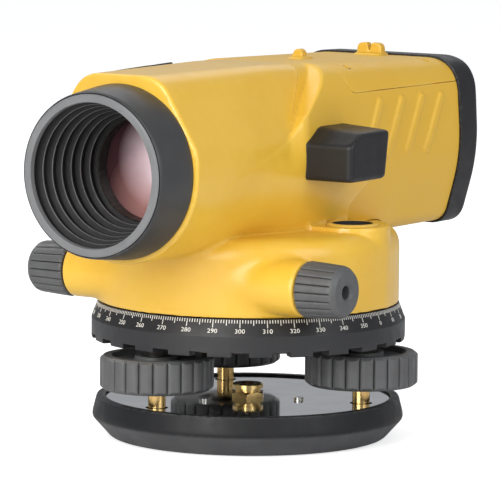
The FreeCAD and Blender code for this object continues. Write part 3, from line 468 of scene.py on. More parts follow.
def main_housing(x, y, z):
    """Drum and telescope barrel in one casting, up to the parting line."""
    tube = telescope(x, y, z)
    base = drum(x, y, z)
    seam = -behind_seam(y, z) + SEAM_GAP
    outside = soft_min(common(tube, seam), base, 2.2)
    room = common(tube + WALL, ROOM_FLOOR - z, BODY_FRONT + 4.0 - y)
    inside = joined(room, drum_cavity(x, y, z), housing_holes(x, y, z))
    return common(outside, joined(seam, base), -inside)


def grip_relief(y, z):
    """Height of the slanting grip ribs on the sides of the rear cover."""
    relief = 0.0
    length = math.hypot(*GRIP_RUN)
    for start_y, start_z in GRIP_RIBS:
        along = ((y - start_y) * GRIP_RUN[0] + (z - start_z) * GRIP_RUN[1]) / length
        across = ((y - start_y) * GRIP_RUN[1] - (z - start_z) * GRIP_RUN[0]) / length
        distance = np.hypot(across, along - np.clip(along, 0.0, length))
        relief = relief + GRIP_HEIGHT * smooth_step((2.3 - distance) / 1.3)
    return relief


def rear_cover(x, y, z):
    """The moulded rear shell, open at its rear end and where the lid sits."""
    tube = telescope(x, y, z)
    outside = common(tube - grip_relief(y, z), behind_seam(y, z) + SEAM_GAP, y - BODY_REAR,
                     -lid_region(y, z) + LID_GAP, 0.25 - drum(x, y, z))
    inside = common(tube + WALL, y - BODY_REAR - 9.0)
    rear_room = common(rear_section(x, y, z) + WALL, BODY_REAR - 4.0 - y)
    return common(outside, -joined(inside, rear_room))


def sight_foot(x, y, height, half_width, start, end):
    return trimmed(np.abs(x) - half_width, (slab(y, start, end), 1.0), (height - 0.7, 0.6))


def sights(x, y, z):
    """The front post and the rear notch that the operator aims over."""
    height = z - lid_height(31.0)
    post = np.where(height < 1.5, np.abs(x), np.hypot(x, height - 1.5)) - 1.9
    post = soft_max(post, slab(y, 29.6, 32.6), 0.5)
    front = soft_min(post, sight_foot(x, y, height, 2.9, 27.8, 34.8), 0.9)
    height = z - lid_height(78.0)
    notch = (np.abs(x) * 2.6 - (height - 1.4)) / 2.8
    plate = trimmed(np.abs(x) - 4.9, (height - 4.3, 2.4), (slab(y, 76.2, 79.2), 0.6),
                    (-notch, 0.4))
    rear = soft_min(plate, sight_foot(x, y, height, 5.2, 74.2, 81.0), 0.9)
    return common(joined(front, rear), lid_height(y) - 1.2 - z)


def top_lid(x, y, z):
    """The lid over the compensator, in one moulding with the sights."""
    shell = soft_max(telescope(x, y, z), lid_region(y, z), 0.5)
    shell = common(shell, -(rear_section(x, y, z) + 1.8))
    for screw_x in (-LID_SCREW_X, LID_SCREW_X):
        for station in LID_SCREW_STATIONS:
            shell = common(shell, -disc(x, y, (screw_x, station), 1.4))
    return soft_min(shell, sights(x, y, z), 0.5)


def rear_cap(x, y, z):
    """The black end cap that closes the body and carries the eyepiece."""
    body = rear_section(x, y, z)
    hollow = common(body + 3.0, y - 91.5)
    eyepiece = disc(x, z, LINE_OF_SIGHT, 0.0)
    boss = soft_max(eyepiece - 18.6, y - CAP_REAR, 0.8)
    panel = soft_max(body + 5.0, CAP_REAR - 0.7 - y, 0.8)
    outside = trimmed(body - 0.7, (BODY_REAR + 0.2 - y, 0.5), (y - CAP_REAR, 3.2), (-panel, 0.8))
    outside = joined(outside, common(boss, 90.0 - y))
    cap = common(outside, -hollow, 15.1 - eyepiece)
    for screw_x in (-23.0, 23.0):
        for screw_z in (74.5, 115.0):
            from_screw = disc(x, z, (screw_x, screw_z), 0.0)
            head_room = joined(2.2 - from_screw, y - CAP_REAR + 2.0)
            cap = common(cap, 1.1 - from_screw, head_room)
    return cap


def prism_housing(x, y, z):
    """The black box that shows the vial to the operator through its rear window."""
    rear = BOX_HIGH.y - 0.4 + 2.8 * (z - BOX_LOW.z) / (BOX_HIGH.z - BOX_LOW.z)
    top = z - BOX_HIGH.z + (x - 31.0) * 0.07
    bevel = (BOX_LOW.y - y) * 0.53 + (z - BOX_HIGH.z + 5.2) * 0.85
    box = trimmed(x - BOX_HIGH.x, (slab(y, BOX_LOW.y, rear), 2.2), (BOX_LOW.z - z, 1.8),
                  (top, 1.6), (bevel, 1.0))
    window = common(slab(x, 36.4, 47.6), slab(z, 91.9, 101.6), -2.0 - y)
    return common(box, TOUCH_GAP - telescope(x, y, z), -window)


def side_cover(x, y, z):
    """The black cover on the operator's right, around the focusing knob."""
    barrel = front_section(x, y, z)
    length = slab(y, SIDE_COVER_LOW.y, SIDE_COVER_HIGH.y)
    cover = trimmed(barrel - 0.9, (length, 0.9), (SIDE_COVER_LOW.z - z, 0.9),
                    (x - SIDE_COVER_HIGH.x, 0.9))
    return common(cover, TOUCH_GAP - barrel)


def base_plate(x, y, z):
    """The plate that stands on the tripod: a sloping rim, a recessed floor and a threaded bore."""
    radius = np.hypot(x, y)
    under = ((radius - 46.5) * 5.9 - z * 5.4) / 8.0
    rim = ((radius - BASE_HIGH.x) * 6.2 + (z - 7.2) * 1.6) / 6.4
    body = trimmed(radius - BASE_HIGH.x, (-z, 1.2), (under, 1.0), (rim, 0.6),
                   (z - BASE_HIGH.z, 0.5))
    recess = common(radius - 48.2, 11.5 - z)
    turn = np.arctan2(y, x) / (2 * math.pi)
    thread = 0.55 * np.cos(2 * math.pi * (z / THREAD_PITCH - turn))
    bore = common(radius - THREAD_RADIUS - thread, z - THREAD_DEPTH)
    seats = [joined(-disc(x, y, place, 7.8), z - 2.8) for place in FOOT_PLACES]
    shank = joined(2.5 - radius, z - 8.0)
    return common(body, -recess, -bore, shank, *seats)


# ---- materials ----
def srgb(red, green, blue):
    """A display colour, 0 to 255, as the linear colour that shaders take."""
    return tuple((c / 255.0 / 12.92) if c <= 10 else ((c / 255.0 + 0.055) / 1.055) ** 2.4
                 for c in (red, green, blue)) + (1.0,)


def scaled(colour, factor):
    return tuple(min(1.0, part * factor) for part in colour[:3]) + (1.0,)


class Shader:
    """A procedural material around one Principled BSDF, with patterns sized in millimetres."""

    def __init__(self, name, colour, roughness, metallic=0.0):
        self.material = bpy.data.materials.new(name)
        self.material.use_nodes = True
        self.nodes = self.material.node_tree.nodes
        self.links = self.material.node_tree.links
        self.bsdf = self.nodes["Principled BSDF"]
        self.place = self.node("TexCoord").outputs["Object"]
        self.colour = colour
        self.roughness = roughness
        self.height = None
        self.bsdf.inputs["Metallic"].default_value = metallic

    def feed(self, socket, value):
        """Gives a socket a fixed value, or links it to another node's output."""
        if isinstance(value, bpy.types.NodeSocket):
            self.links.new(value, socket)
        else:
            socket.default_value = value

    def node(self, kind, inputs=None, **settings):
        """A new node. Inputs has a value or another node's output for each socket it names."""
        made = self.nodes.new("ShaderNode" + kind)
        for key, value in settings.items():
            setattr(made, key, value)
        for key, value in (inputs or {}).items():
            self.feed(made.inputs[key], value)
        return made

    def noise(self, size, detail=3.0, stretch=(1.0, 1.0, 1.0)):
        """Noise whose features are about size millimetres, longer along stretched axes."""
        scale = [1.0 / (size * MM * part) for part in stretch]
        mapped = self.node("Mapping", {"Vector": self.place, "Scale": scale}).outputs[0]
        settings = {"Vector": mapped, "Scale": 1.0, "Detail": detail}
        return self.node("TexNoise", settings).outputs["Fac"]

    def map_range(self, value, low, high, out_low, out_high):
        settings = {"Value": value, "From Min": low, "From Max": high, "To Min": out_low,
                    "To Max": out_high}
        return self.node("MapRange", settings).outputs[0]

    def blend_in(self, colour, share):
        """Lays another colour over the present one, by a share from 0 to 1."""
        settings = {"Factor": share, 6: self.colour, 7: colour}
        self.colour = self.node("Mix", settings, data_type="RGBA").outputs[2]

    def times(self, first, second):
        return self.node("Math", {0: first, 1: second}, operation="MULTIPLY").outputs[0]

    def mottle(self, colour, size, strength):
        """Soft colour variation."""
        self.blend_in(colour, self.map_range(self.noise(size), 0.35, 0.65, 0.0, strength))

    def band(self, colour, start, end):
        """Another colour below a height that fades in from start to end."""
        height = self.node("SeparateXYZ", {0: self.place}).outputs["Z"]
        self.blend_in(colour, self.map_range(height, start * MM, end * MM, 0.0, 1.0))

    def patch(self, colour, centre, reach, strength):
        """A round, soft-edged patch of another colour about a point, painted in place of reflected
        light.
        """
        settings = {"Vector": self.place, "Scale": [1.0 / (reach * MM)] * 3,
                    "Location": [-part / reach for part in centre]}
        mapped = self.node("Mapping", settings).outputs[0]
        ball = self.node("TexGradient", {"Vector": mapped}, gradient_type="SPHERICAL")
        self.blend_in(colour, self.map_range(ball.outputs["Fac"], 0.0, 0.75, 0.0, strength))

    def pointiness(self):
        return self.node("NewGeometry").outputs["Pointiness"]

    def edge_wear(self, colour, strength):
        """Paler convex edges, broken up by noise: partly rubbed wear, partly a painted highlight
        where edges catch the light.
        """
        edge = self.map_range(self.pointiness(), 0.52, 0.60, 0.0, strength)
        broken = self.map_range(self.noise(1.1), 0.35, 0.65, 0.15, 1.0)
        self.blend_in(colour, self.times(edge, broken))

    def dust(self, colour, strength):
        """Darker colour in hollow places, where the surface curves inward."""
        self.blend_in(colour, self.map_range(self.pointiness(), 0.49, 0.42, 0.0, strength))

    def grain(self, size, depth, detail=2.0, stretch=(1.0, 1.0, 1.0)):
        """A bumpy surface; depth is in millimetres."""
        settings = {"Distance": depth * MM, "Height": self.noise(size, detail, stretch)}
        if self.height:
            settings["Normal"] = self.height
        self.height = self.node("Bump", settings).outputs[0]

    def rings(self, axis, size, depth):
        """Fine turning marks, as noise that only varies along an axis."""
        stretch = [400.0, 400.0, 400.0]
        stretch["xyz".index(axis)] = 1.0
        self.grain(size, depth, 1.0, stretch)

    def finish(self, spread, size, **inputs):
        """Varies the roughness by a spread in patches of a size, and connects everything.
        Inputs are further settings of the Principled BSDF."""
        low, high = max(self.roughness - spread, 0.0), self.roughness + spread
        inputs["Roughness"] = self.map_range(self.noise(size), 0.3, 0.7, low, high)
        inputs["Base Color"] = self.colour
        if self.height:
            inputs["Normal"] = self.height
        for key, value in inputs.items():
            self.feed(self.bsdf.inputs[key.replace("_", " ")], value)


YELLOW = srgb(231, 185, 58)
YELLOW_PALE = srgb(240, 205, 104)
YELLOW_DEEP = srgb(222, 169, 40)
MATERIALS = {}


def material(colour, roughness, metallic=0.0):
    """Lets a function finish a new shader, and keeps the material under the function's name."""
    def keep(make):
        shader = Shader(make.__name__, colour, roughness, metallic)
        make(shader)
        MATERIALS[make.__name__] = shader.material
        return make
    return keep


@material(YELLOW, 0.36)
def yellow_paint(shader):
    """Stoved enamel on the cast housing, with a faint orange-peel surface."""
    shader.mottle(YELLOW_DEEP, 22.0, 0.35)
    shader.mottle(YELLOW_PALE, 3.5, 0.10)
    shader.edge_wear(srgb(250, 218, 140), 0.35)
    shader.dust(srgb(186, 136, 44), 0.45)
    shader.grain(1.6, 0.010)
    shader.grain(0.28, 0.0025)
    shader.finish(0.05, 9.0, Coat_Weight=0.25, Coat_Roughness=0.22)


@material(scaled(YELLOW, 0.93), 0.44)
def yellow_plastic(shader):
    """Spark-eroded texture on the moulded rear cover and lid."""
    shader.mottle(YELLOW_DEEP, 26.0, 0.30)
    shader.edge_wear(srgb(250, 218, 140), 0.35)
    shader.dust(srgb(180, 130, 46), 0.45)
    shader.grain(0.45, 0.006, 3.0)
    shader.finish(0.05, 7.0)


@material(srgb(27, 27, 29), 0.44)
def black_plastic(shader):
    """Fine-grained black moulding, a little bluish, with grey painted highlights on its edges."""
    shader.mottle(srgb(34, 33, 33), 12.0, 0.5)
    # Grey edges: painted highlights.
    shader.edge_wear(srgb(116, 116, 118), 0.35)
    shader.grain(0.40, 0.007, 3.0)
    shader.finish(0.07, 5.0, Specular_IOR_Level=0.32)


@material(srgb(88, 89, 90), 0.46)
def knob_grey(shader):
    """Hard grey plastic of the ribbed knobs."""
    shader.mottle(srgb(74, 74, 75), 6.0, 0.5)
    shader.edge_wear(srgb(170, 170, 168), 0.40)
    shader.dust(srgb(40, 38, 36), 0.75)
    shader.grain(0.35, 0.006, 3.0)
    shader.finish(0.07, 3.0)


@material(srgb(56, 57, 58), 0.40)
def hood_grey(shader):
    """Satin dark grey of the objective hood, with turning marks."""
    shader.mottle(srgb(46, 46, 48), 14.0, 0.5)
    shader.edge_wear(srgb(170, 170, 172), 0.45)
    shader.grain(0.35, 0.005, 3.0)
    shader.rings("y", 0.25, 0.004)
    shader.finish(0.05, 5.0)


@material(srgb(118, 119, 120), 0.34)
def hood_lip(shader):
    """Paler grey of the lip at the front of the hood, and a painted highlight on the crests of the
    ridges in its bore.
    """
    shader.mottle(srgb(98, 99, 100), 9.0, 0.4)
    shader.edge_wear(srgb(150, 151, 152), 0.3)
    shader.rings("y", 0.22, 0.004)
    shader.finish(0.05, 4.0)


@material(srgb(22, 22, 23), 0.7)
def hood_bore(shader):
    """Dead black between the ridges inside the hood."""
    shader.mottle(srgb(32, 31, 31), 3.0, 0.5)
    shader.grain(0.3, 0.006)
    shader.finish(0.06, 3.0)


@material(srgb(25, 26, 28), 0.48)
def dark_paint(shader):
    """Dark grey paint on the cast base plate, with painted light on its lower rim."""
    # Painted light: the rim turns paler below 7.2 mm, as if lit from the front and below.
    shader.band(srgb(84, 85, 87), 7.2, 6.2)
    shader.mottle(srgb(40, 40, 42), 16.0, 0.3)
    shader.edge_wear(srgb(150, 150, 150), 0.45)
    shader.grain(0.7, 0.008, 3.0)
    shader.finish(0.07, 6.0, Specular_IOR_Level=0.25)


@material(srgb(15, 15, 18), 0.46)
def circle_black(shader):
    """Matt black of the graduated circle."""
    shader.band(srgb(36, 37, 39), RING_RIM_Z + 0.2, RING_RIM_Z - 0.1)
    shader.mottle(srgb(36, 36, 39), 8.0, 0.3)
    shader.edge_wear(srgb(120, 120, 124), 0.35)
    shader.grain(0.35, 0.005)
    shader.finish(0.06, 4.0)


@material(srgb(232, 231, 224), 0.5)
def white_paint(shader):
    """Filling paint of the graduations and numbers."""
    shader.mottle(srgb(196, 194, 186), 2.0, 0.5)
    shader.grain(0.15, 0.003)
    shader.finish(0.05, 2.0)


@material(srgb(34, 34, 36), 0.38, 0.6)
def black_metal(shader):
    """Blackened brass and aluminium inside the instrument."""
    shader.mottle(srgb(48, 46, 44), 5.0, 0.5)
    shader.edge_wear(srgb(120, 112, 96), 0.4)
    shader.grain(0.3, 0.004)
    shader.finish(0.07, 3.0)


@material(srgb(206, 208, 206), 0.07, 1.0)
def mirror_steel(shader):
    """Bright rolled sheet of the spring plate."""
    shader.mottle(srgb(176, 178, 176), 9.0, 0.4)
    shader.grain(2.2, 0.002, 1.0, (6.0, 1.0, 1.0))
    shader.grain(0.2, 0.0004, 1.0, (30.0, 1.0, 1.0))
    shader.finish(0.04, 5.0)


@material(srgb(182, 182, 180), 0.24, 1.0)
def steel(shader):
    """Turned bright steel of shafts and screws."""
    shader.mottle(srgb(140, 138, 134), 3.0, 0.4)
    shader.edge_wear(srgb(225, 225, 225), 0.4)
    shader.grain(0.25, 0.003)
    shader.finish(0.07, 2.0)


@material(srgb(232, 198, 132), 0.22, 1.0)
def brass(shader):
    """Turned brass with slight tarnish."""
    shader.mottle(srgb(190, 146, 84), 3.5, 0.5)
    shader.edge_wear(srgb(246, 222, 160), 0.5)
    shader.rings("z", 0.22, 0.006)
    shader.finish(0.07, 2.0)


@material(srgb(36, 36, 37), 0.68)
def black_rubber(shader):
    """Soft matt rubber of the eyecup."""
    shader.mottle(srgb(56, 54, 52), 4.0, 0.5)
    shader.edge_wear(srgb(84, 82, 80), 0.4)
    shader.grain(0.5, 0.012, 3.0)
    shader.finish(0.08, 2.0, Sheen_Weight=0.15)


@material(srgb(236, 242, 240), 0.03)
def clear_glass(shader):
    shader.mottle(srgb(224, 232, 230), 8.0, 0.3)
    shader.grain(6.0, 0.001, 1.0)
    shader.finish(0.02, 3.0, Transmission_Weight=1.0, IOR=1.5)


@material(srgb(56, 38, 42), 0.12)
def coated_glass(shader):
    """The objective: an anti-reflection coating, with a painted reddish-brown reflection low down
    and a painted mauve highlight near the middle.
    """
    # Painted reflections: reddish-brown below the middle of the lens, pale mauve near its middle.
    shader.patch(srgb(178, 140, 132), (3.0, -61.0, AXIS_Z - 12.0), 20.0, 1.0)
    shader.patch(srgb(232, 224, 228), (6.0, -61.0, AXIS_Z + 3.0), 18.0, 1.0)
    shader.mottle(srgb(96, 70, 72), 14.0, 0.2)
    shader.grain(9.0, 0.004, 1.0)
    shader.finish(0.03, 6.0, Coat_Weight=1.0, Coat_Roughness=0.05, Coat_Tint=srgb(255, 236, 240))


@material(srgb(232, 240, 228), 0.04)
def vial_glass(shader):
    shader.mottle(srgb(214, 228, 210), 4.0, 0.4)
    shader.grain(3.0, 0.002, 1.0)
    shader.finish(0.02, 2.0, Transmission_Weight=0.92, IOR=1.46)


@material(srgb(176, 196, 84), 0.12)
def vial_liquid(shader):
    """Yellow-green spirit under the glass of the circular vial."""
    shader.mottle(srgb(150, 176, 62), 3.0, 0.4)
    shader.grain(2.0, 0.002, 1.0)
    shader.finish(0.03, 2.0, Transmission_Weight=0.35, IOR=1.36)


def paint_cad_nodes():
    """Gives every CAD node the procedural material that its slot in the record names."""
    slots = {part["node"]: part["material_slot"] for part in frame["record"]["subparts"]}
    for name, obj in frame["nodes"].items():
        obj.data.materials.clear()
        obj.data.materials.append(MATERIALS[slots[name]])


# ---- pieces ----
def build_shells():
    """The cast and moulded pieces, each from its distance field in the box of its CAD node."""
    for field, making, cell, body, slot in (
            (main_housing, "casting", CELL, "upper", "yellow_paint"),
            (rear_cover, "moulding", FINE_CELL, "upper", "yellow_plastic"),
            (top_lid, "moulding", FINE_CELL, "upper", "yellow_plastic"),
            (rear_cap, "moulding", FINE_CELL, "upper", "black_plastic"),
            (prism_housing, "moulding", FINE_CELL, "upper", "black_plastic"),
            (side_cover, "moulding", FINE_CELL, "upper", "black_plastic"),
            (base_plate, "casting", CELL, "base", "dark_paint")):
        node = field.__name__
        points, faces = contour(field, *span(node), cell)
        add_piece(node + "_" + making, points, faces, body, slot, [node])


def ribbed_shape(count, top, depth, power):
    """Cuts ribs into whatever stands beyond their grooves."""
    def shape(angle, radius, station):
        limit = top - depth * (1 - lobes(angle, count, power))
        return np.minimum(radius, limit), station
    return shape


def add_turned(name, corners, longest, segments, turning, body, slot, replaced=(), material=None):
    """A piece turned from the corners of its outline, with stretches no longer than longest.
    Turning is the axis, the centre and whatever else lathe takes."""
    outline = with_steps(rounded_outline(corners), longest)
    points, faces = lathe(outline, full_turn(segments), *turning)
    add_piece(name, points, faces, body, slot, replaced, material)


def build_foot_knobs():
    ribs = 24
    for foot in "abc":
        node = "foot_knob_" + foot
        low, high = span(node)
        nut_low, nut_high = span("foot_nut_" + foot)
        inner = (nut_high.x - nut_low.x) / 2 - 0.5
        radius = (high.x - low.x) / 2
        bottom, top = low.z, high.z
        corners = [
            (inner, bottom + 0.8, 0), (8.4, bottom + 0.8, 0.2), (9.3, bottom, 0.4),
            (radius - 1.5, bottom, 0.5), (radius, bottom + 1.2, 0.6), (radius, top - 1.1, 0.5),
            (radius - 1.3, top, 0.5), (radius - 4.0, top, 0.5), (radius - 4.8, top - 1.7, 0.4),
            (7.6, top - 1.7, 0.4), (7.4, top - 0.1, 0.2), (inner, top - 0.1, 0)]
        turning = ("z", middle(node)[:2], ribbed_shape(ribs, radius, 1.25, 3.0))
        add_turned(node + "_ribbed", corners, 0.6, ribs * 16, turning, "knob_" + foot, "knob_grey",
                   [node])


def build_tangent_knobs():
    """Slightly conical knobs, with a dimple in the middle of a plain end."""
    ribs = 20
    for node, side in (("tangent_knob_left", 1), ("tangent_knob_right", -1)):
        low, high = span(node)
        root, end = (low.x, high.x) if side > 0 else (high.x, low.x)
        radius = (high.z - low.z) / 2
        length = abs(end - root)
        corners = [
            (2.6, 0.0, 0), (radius - 0.5, 0.0, 0.3), (radius, 0.8, 0.5),
            (radius - 0.75, length - 1.7, 0.5), (radius - 2.2, length, 0.6), (3.3, length, 0.3),
            (2.8, length - 0.5, 0.2), (2.3, length - 0.6, 0.2), (2.3, length - 4.5, 0.2),
            (2.6, length - 4.5, 0)]

        def shape(angle, reach, station):
            limit = radius - 0.05 * station - 0.85 * (1 - lobes(angle, ribs, 4.0))
            plain = station > length - 2.1
            return np.minimum(reach, np.where(plain, radius - 0.95, limit)), station

        turning = ("x", WORM_CENTRE, shape, root, side)
        add_turned(node + "_ribbed", corners, 0.5, ribs * 14, turning, "tangent", "knob_grey",
                   [node])


def build_focusing_knob():
    ribs = 30
    low, high = span("focusing_knob")
    radius = (high.z - low.z) / 2
    length = high.x - low.x
    corners = [
        (0.0, length - 3.0, 0), (1.7, length - 3.0, 0), (1.7, 0.0, 0), (radius - 1.4, 0.0, 0.5),
        (radius, 1.2, 0.6), (radius, length - 2.2, 0.8), (radius - 2.6, length, 0.8),
        (7.0, length, 0.8), (6.0, length - 1.2, 0.6), (0.0, length - 1.2, 0)]
    shape = ribbed_shape(ribs, radius, 1.0, 3.0)
    turning = ("x", PINION_CENTRE, shape, high.x, -1)
    add_turned("focusing_knob_ribbed", corners, 0.6, ribs * 12, turning, "focus_drive",
               "knob_grey", ["focusing_knob"])


def build_dioptre_ring():
    ribs = 28
    low, high = span("eyepiece_ring")
    radius = (high.x - low.x) / 2
    start, end = low.y, high.y
    corners = [
        (13.05, start, 0), (radius - 0.9, start, 0.4), (radius, start + 1.2, 0.4),
        (radius, end - 1.6, 0.5), (radius - 1.4, end, 0.5), (13.05, end, 0)]
    turning = ("y", LINE_OF_SIGHT, ribbed_shape(ribs, radius, 0.9, 4.0))
    add_turned("eyepiece_ring_ribbed", corners, 0.5, ribs * 12, turning, "dioptre", "knob_grey",
               ["eyepiece_ring"])


def build_eyecup():
    low, high = span("eyecup")
    start, end = low.y, high.y
    corners = [
        (11.6, start, 0.2), (15.4, start, 0.3), (15.1, start + 1.6, 0.5), (15.7, start + 3.6, 0.8),
        (15.4, end - 1.4, 0.8), (14.0, end, 0.9), (9.4, end, 0.9), (8.2, end - 1.4, 0.5),
        (8.2, end - 3.1, 0.3), (11.6, end - 3.9, 0.4)]
    add_turned("eyecup_rubber", corners, 0.8, 128, ("y", LINE_OF_SIGHT), "dioptre",
               "black_rubber", ["eyecup"])


def build_hood():
    """The hood: a dark sleeve, a thin groove, and a paler lip with ridges down its bore."""
    front, rear = HOOD_LOW.y - 1.0, BODY_FRONT
    radius = (HOOD_HIGH.x - HOOD_LOW.x) / 2
    ridges, bore_front, bore_rear = 7, 23.4, 17.1
    inner_end = HOOD_HIGH.y
    first = front + 1.4
    pitch = (inner_end - first) / ridges
    crests = [bore_front + (bore_rear - bore_front) * i / ridges for i in range(ridges + 1)]
    corners = [(bore_front + 0.2, front + 0.05, 0.2), (bore_front, first, 0.2)]
    for i in range(ridges):
        station = first + pitch * i
        corners += [(crests[i], station + 0.5, 0.15), (crests[i] + 1.0, station + 0.9, 0.2),
                    (crests[i] + 1.0, station + pitch - 0.5, 0.3),
                    (crests[i + 1], station + pitch, 0.25)]
    corners += [(24.4, inner_end, 0.2), (24.4, rear, 0.2), (radius, rear, 0.3),
                (radius - 0.1, rear - 1.6, 0.5), (radius - 1.6, front + 1.6, 0.6),
                (radius - 1.9, front + 0.7, 0.2), (radius - 2.1, front + 0.6, 0.1),
                (radius - 2.15, front + 1.4, 0.05), (radius - 2.35, front + 1.4, 0.05),
                (radius - 2.4, front + 0.4, 0.15), (radius - 2.9, front, 0.3)]
    points, faces = lathe(rounded_outline(corners, 4), full_turn(256), "y", LINE_OF_SIGHT)
    hood = add_piece("objective_hood_turned", points, faces, "upper", "hood_grey",
                     ["objective_hood"])
    for extra in ("hood_lip", "hood_bore"):
        hood.data.materials.append(MATERIALS[extra])
    # The lip and the ridge crests take the paler material; on the crests it is a painted
    # highlight. The rest of the bore is dead black.
    for face in hood.data.polygons:
        x, y, z = face.center / MM
        from_axis = math.hypot(x, z - AXIS_Z)
        if from_axis < radius - 2.3 and y < inner_end:
            ridge = max(0, int((y - first) / pitch))
            on_crest = from_axis < crests[ridge] + 0.3 and y - first - ridge * pitch < 0.7
            face.material_index = 1 if y < front + 0.6 or on_crest else 2


def build_vial():
    """The circular vial: a dark liner, and domed glass over spirit, a bubble and a black ring."""
    rim = VIAL_TOP - 0.1
    top = VIAL_TOP - 1.5
    floor = span("circular_vial")[0].z
    liner = [(6.6, floor, 0), (6.88, floor, 0), (6.88, rim, 0.05), (6.6, rim, 0.05)]
    glass = [(0.0, top - 1.0, 0), (6.55, top - 1.5, 0.1), (6.55, top - 0.5, 0.2), (0.0, top, 0)]
    spirit = [(0.0, floor, 0), (6.5, floor, 0.2), (6.5, top - 1.6, 0.2), (0.0, top - 1.1, 0)]
    bubble = [(0.0, top - 1.09, 0), (1.9, top - 1.12, 0.1), (1.7, top - 1.02, 0.1),
              (0.0, top - 1.01, 0)]
    mark = [(2.5, top - 0.35, 0), (2.9, top - 0.37, 0), (2.9, top - 0.02, 0), (2.5, top, 0)]
    for name, corners, slot, material, replaced in (
            ("vial_dome", glass, "vial_glass", None, ["circular_vial"]),
            ("vial_spirit", spirit, "vial_glass", "vial_liquid", ()),
            ("vial_bubble", bubble, "clear_glass", None, ()),
            ("vial_liner", liner, "black_metal", "hood_bore", ()),
            ("vial_circle_mark", mark, "black_metal", None, ())):
        add_turned(name, corners, 1.0, 96, ("z", VIAL_CENTRE), "upper", slot, replaced, material)


# ---- graduated circle ----
NOTCHES = 24
NOTCH_HALF_WIDTH = 3.0
NOTCH_DEPTH = 1.75
NOTCH_PITCH = 2 * math.pi / NOTCHES
STROKE_HALF_WIDTH = 0.13
STROKE_START = 0.25  # from the cone's top edge
NUMBER_SIZE = 2.05
NUMBER_DROP = 4.15  # from the cone's top edge to the middle of the numbers
NUMBER_STRETCH = 1.1


def ring_angles():
    """Angles that put close steps on both sides of every notch."""
    half = NOTCH_HALF_WIDTH / RING_HIGH.x
    edge = 0.15 / RING_HIGH.x
    stops = [-half - edge, -half, half, half + edge]
    filled = np.linspace(half + edge, NOTCH_PITCH - half - edge, 8)[1:-1]
    between = np.linspace(-half, half, 6)[1:-1]
    one = np.sort(np.concatenate([stops, filled, between]))
    return np.concatenate([one + NOTCH_PITCH * i for i in range(NOTCHES)])


def ring_shape(angle, radius, station):
    """Raises the lower edge of the skirt inside the notches."""
    place = np.abs(np.mod(angle + NOTCH_PITCH / 2, NOTCH_PITCH) - NOTCH_PITCH / 2)
    notch = (place < (NOTCH_HALF_WIDTH + 0.05) / RING_HIGH.x) & (radius > RING_HIGH.x - 6.0)
    raised = np.maximum(station, RING_LOW.z + NOTCH_DEPTH)
    return radius, np.where(notch, raised, station)


def cone_point(angle, drop, lift):
    """A point on the graduated cone, drop below its top edge and lift proud of it."""
    run, fall = RING_HIGH.x - RING_EDGE_RADIUS, RING_HIGH.z - RING_RIM_Z
    length = math.hypot(run, fall)
    radius = RING_EDGE_RADIUS + run / length * drop + fall / length * lift
    height = RING_HIGH.z - fall / length * drop + run / length * lift
    return radius * math.cos(angle), radius * math.sin(angle), height


def build_circle():
    bush_low, bush_high = span("axis_bush")
    inner = (bush_high.x - bush_low.x) / 2 + 5.05
    low, high = RING_LOW.z, RING_HIGH.z
    outer = RING_HIGH.x
    outline = rounded_outline([
        (inner, low + 6.5, 0), (47.6, low + 6.5, 0.3), (47.6, low, 0.3), (outer, low, 0.6),
        (outer, RING_RIM_Z, 0.3), (RING_EDGE_RADIUS, high, 0.25), (48.6, high, 0.3),
        (48.6, low + 8.5, 0.3), (inner, low + 8.5, 0)])
    points, faces = lathe(with_steps(outline, 1.75), ring_angles(), "z", shape=ring_shape)
    add_piece("circle_ring_notched", points, faces, "circle", "circle_black", ["circle_ring"])


def build_graduations():
    """One raised stroke of paint a degree, longer at fives and longest at tens."""
    points, faces = [], []
    turn = STROKE_HALF_WIDTH / RING_EDGE_RADIUS
    for degree in range(360):
        end = STROKE_START + (2.7 if degree % 10 == 0 else 1.9 if degree % 5 == 0 else 1.15)
        angle = math.radians(degree)
        first = len(points)
        for lift in (-0.05, 0.06):
            for side, drop in ((-1, STROKE_START), (1, STROKE_START), (1, end), (-1, end)):
                points.append(cone_point(angle + side * turn, drop, lift))
        faces += [[first + i for i in face] for face in (
            (0, 1, 2, 3), (4, 5, 6, 7), (0, 1, 5, 4), (1, 2, 6, 5), (2, 3, 7, 6), (3, 0, 4, 7))]
    add_piece("circle_graduations", points, faces, "circle", "circle_black", (), "white_paint")


def text_mesh(words, size):
    """Points and faces of flat, slightly thick lettering in its own plane, in millimetres."""
    curve = bpy.data.curves.new("lettering", "FONT")
    curve.body = words
    curve.size = size
    curve.extrude = 0.06
    curve.align_x = "CENTER"
    curve.align_y = "CENTER"
    curve.resolution_u = 3
    holder = bpy.data.objects.new("lettering", curve)
    mesh = bpy.data.meshes.new_from_object(holder)
    points = [tuple(vertex.co) for vertex in mesh.vertices]
    faces = [list(face.vertices) for face in mesh.polygons]
    bpy.data.objects.remove(holder)
    bpy.data.curves.remove(curve)
    bpy.data.meshes.remove(mesh)
    return points, faces


def build_numbers():
    """Plain numbers every ten degrees, wrapped round the cone below their strokes."""
    points, faces = [], []
    for degree in range(0, 360, 10):
        first = len(points)
        flat, loops = text_mesh(str(degree), NUMBER_SIZE)
        for u, v, w in flat:
            angle = math.radians(degree) + u * NUMBER_STRETCH / RING_EDGE_RADIUS
            points.append(cone_point(angle, NUMBER_DROP - v, w))
        faces += [[first + i for i in loop] for loop in loops]
    mesh = bpy.data.meshes.new("circle_numbers")
    mesh.from_pydata([[c * MM for c in point] for point in points], [], faces)
    mesh.materials.append(MATERIALS["white_paint"])
    obj = add_object("circle_numbers", mesh)
    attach(obj, "circle")


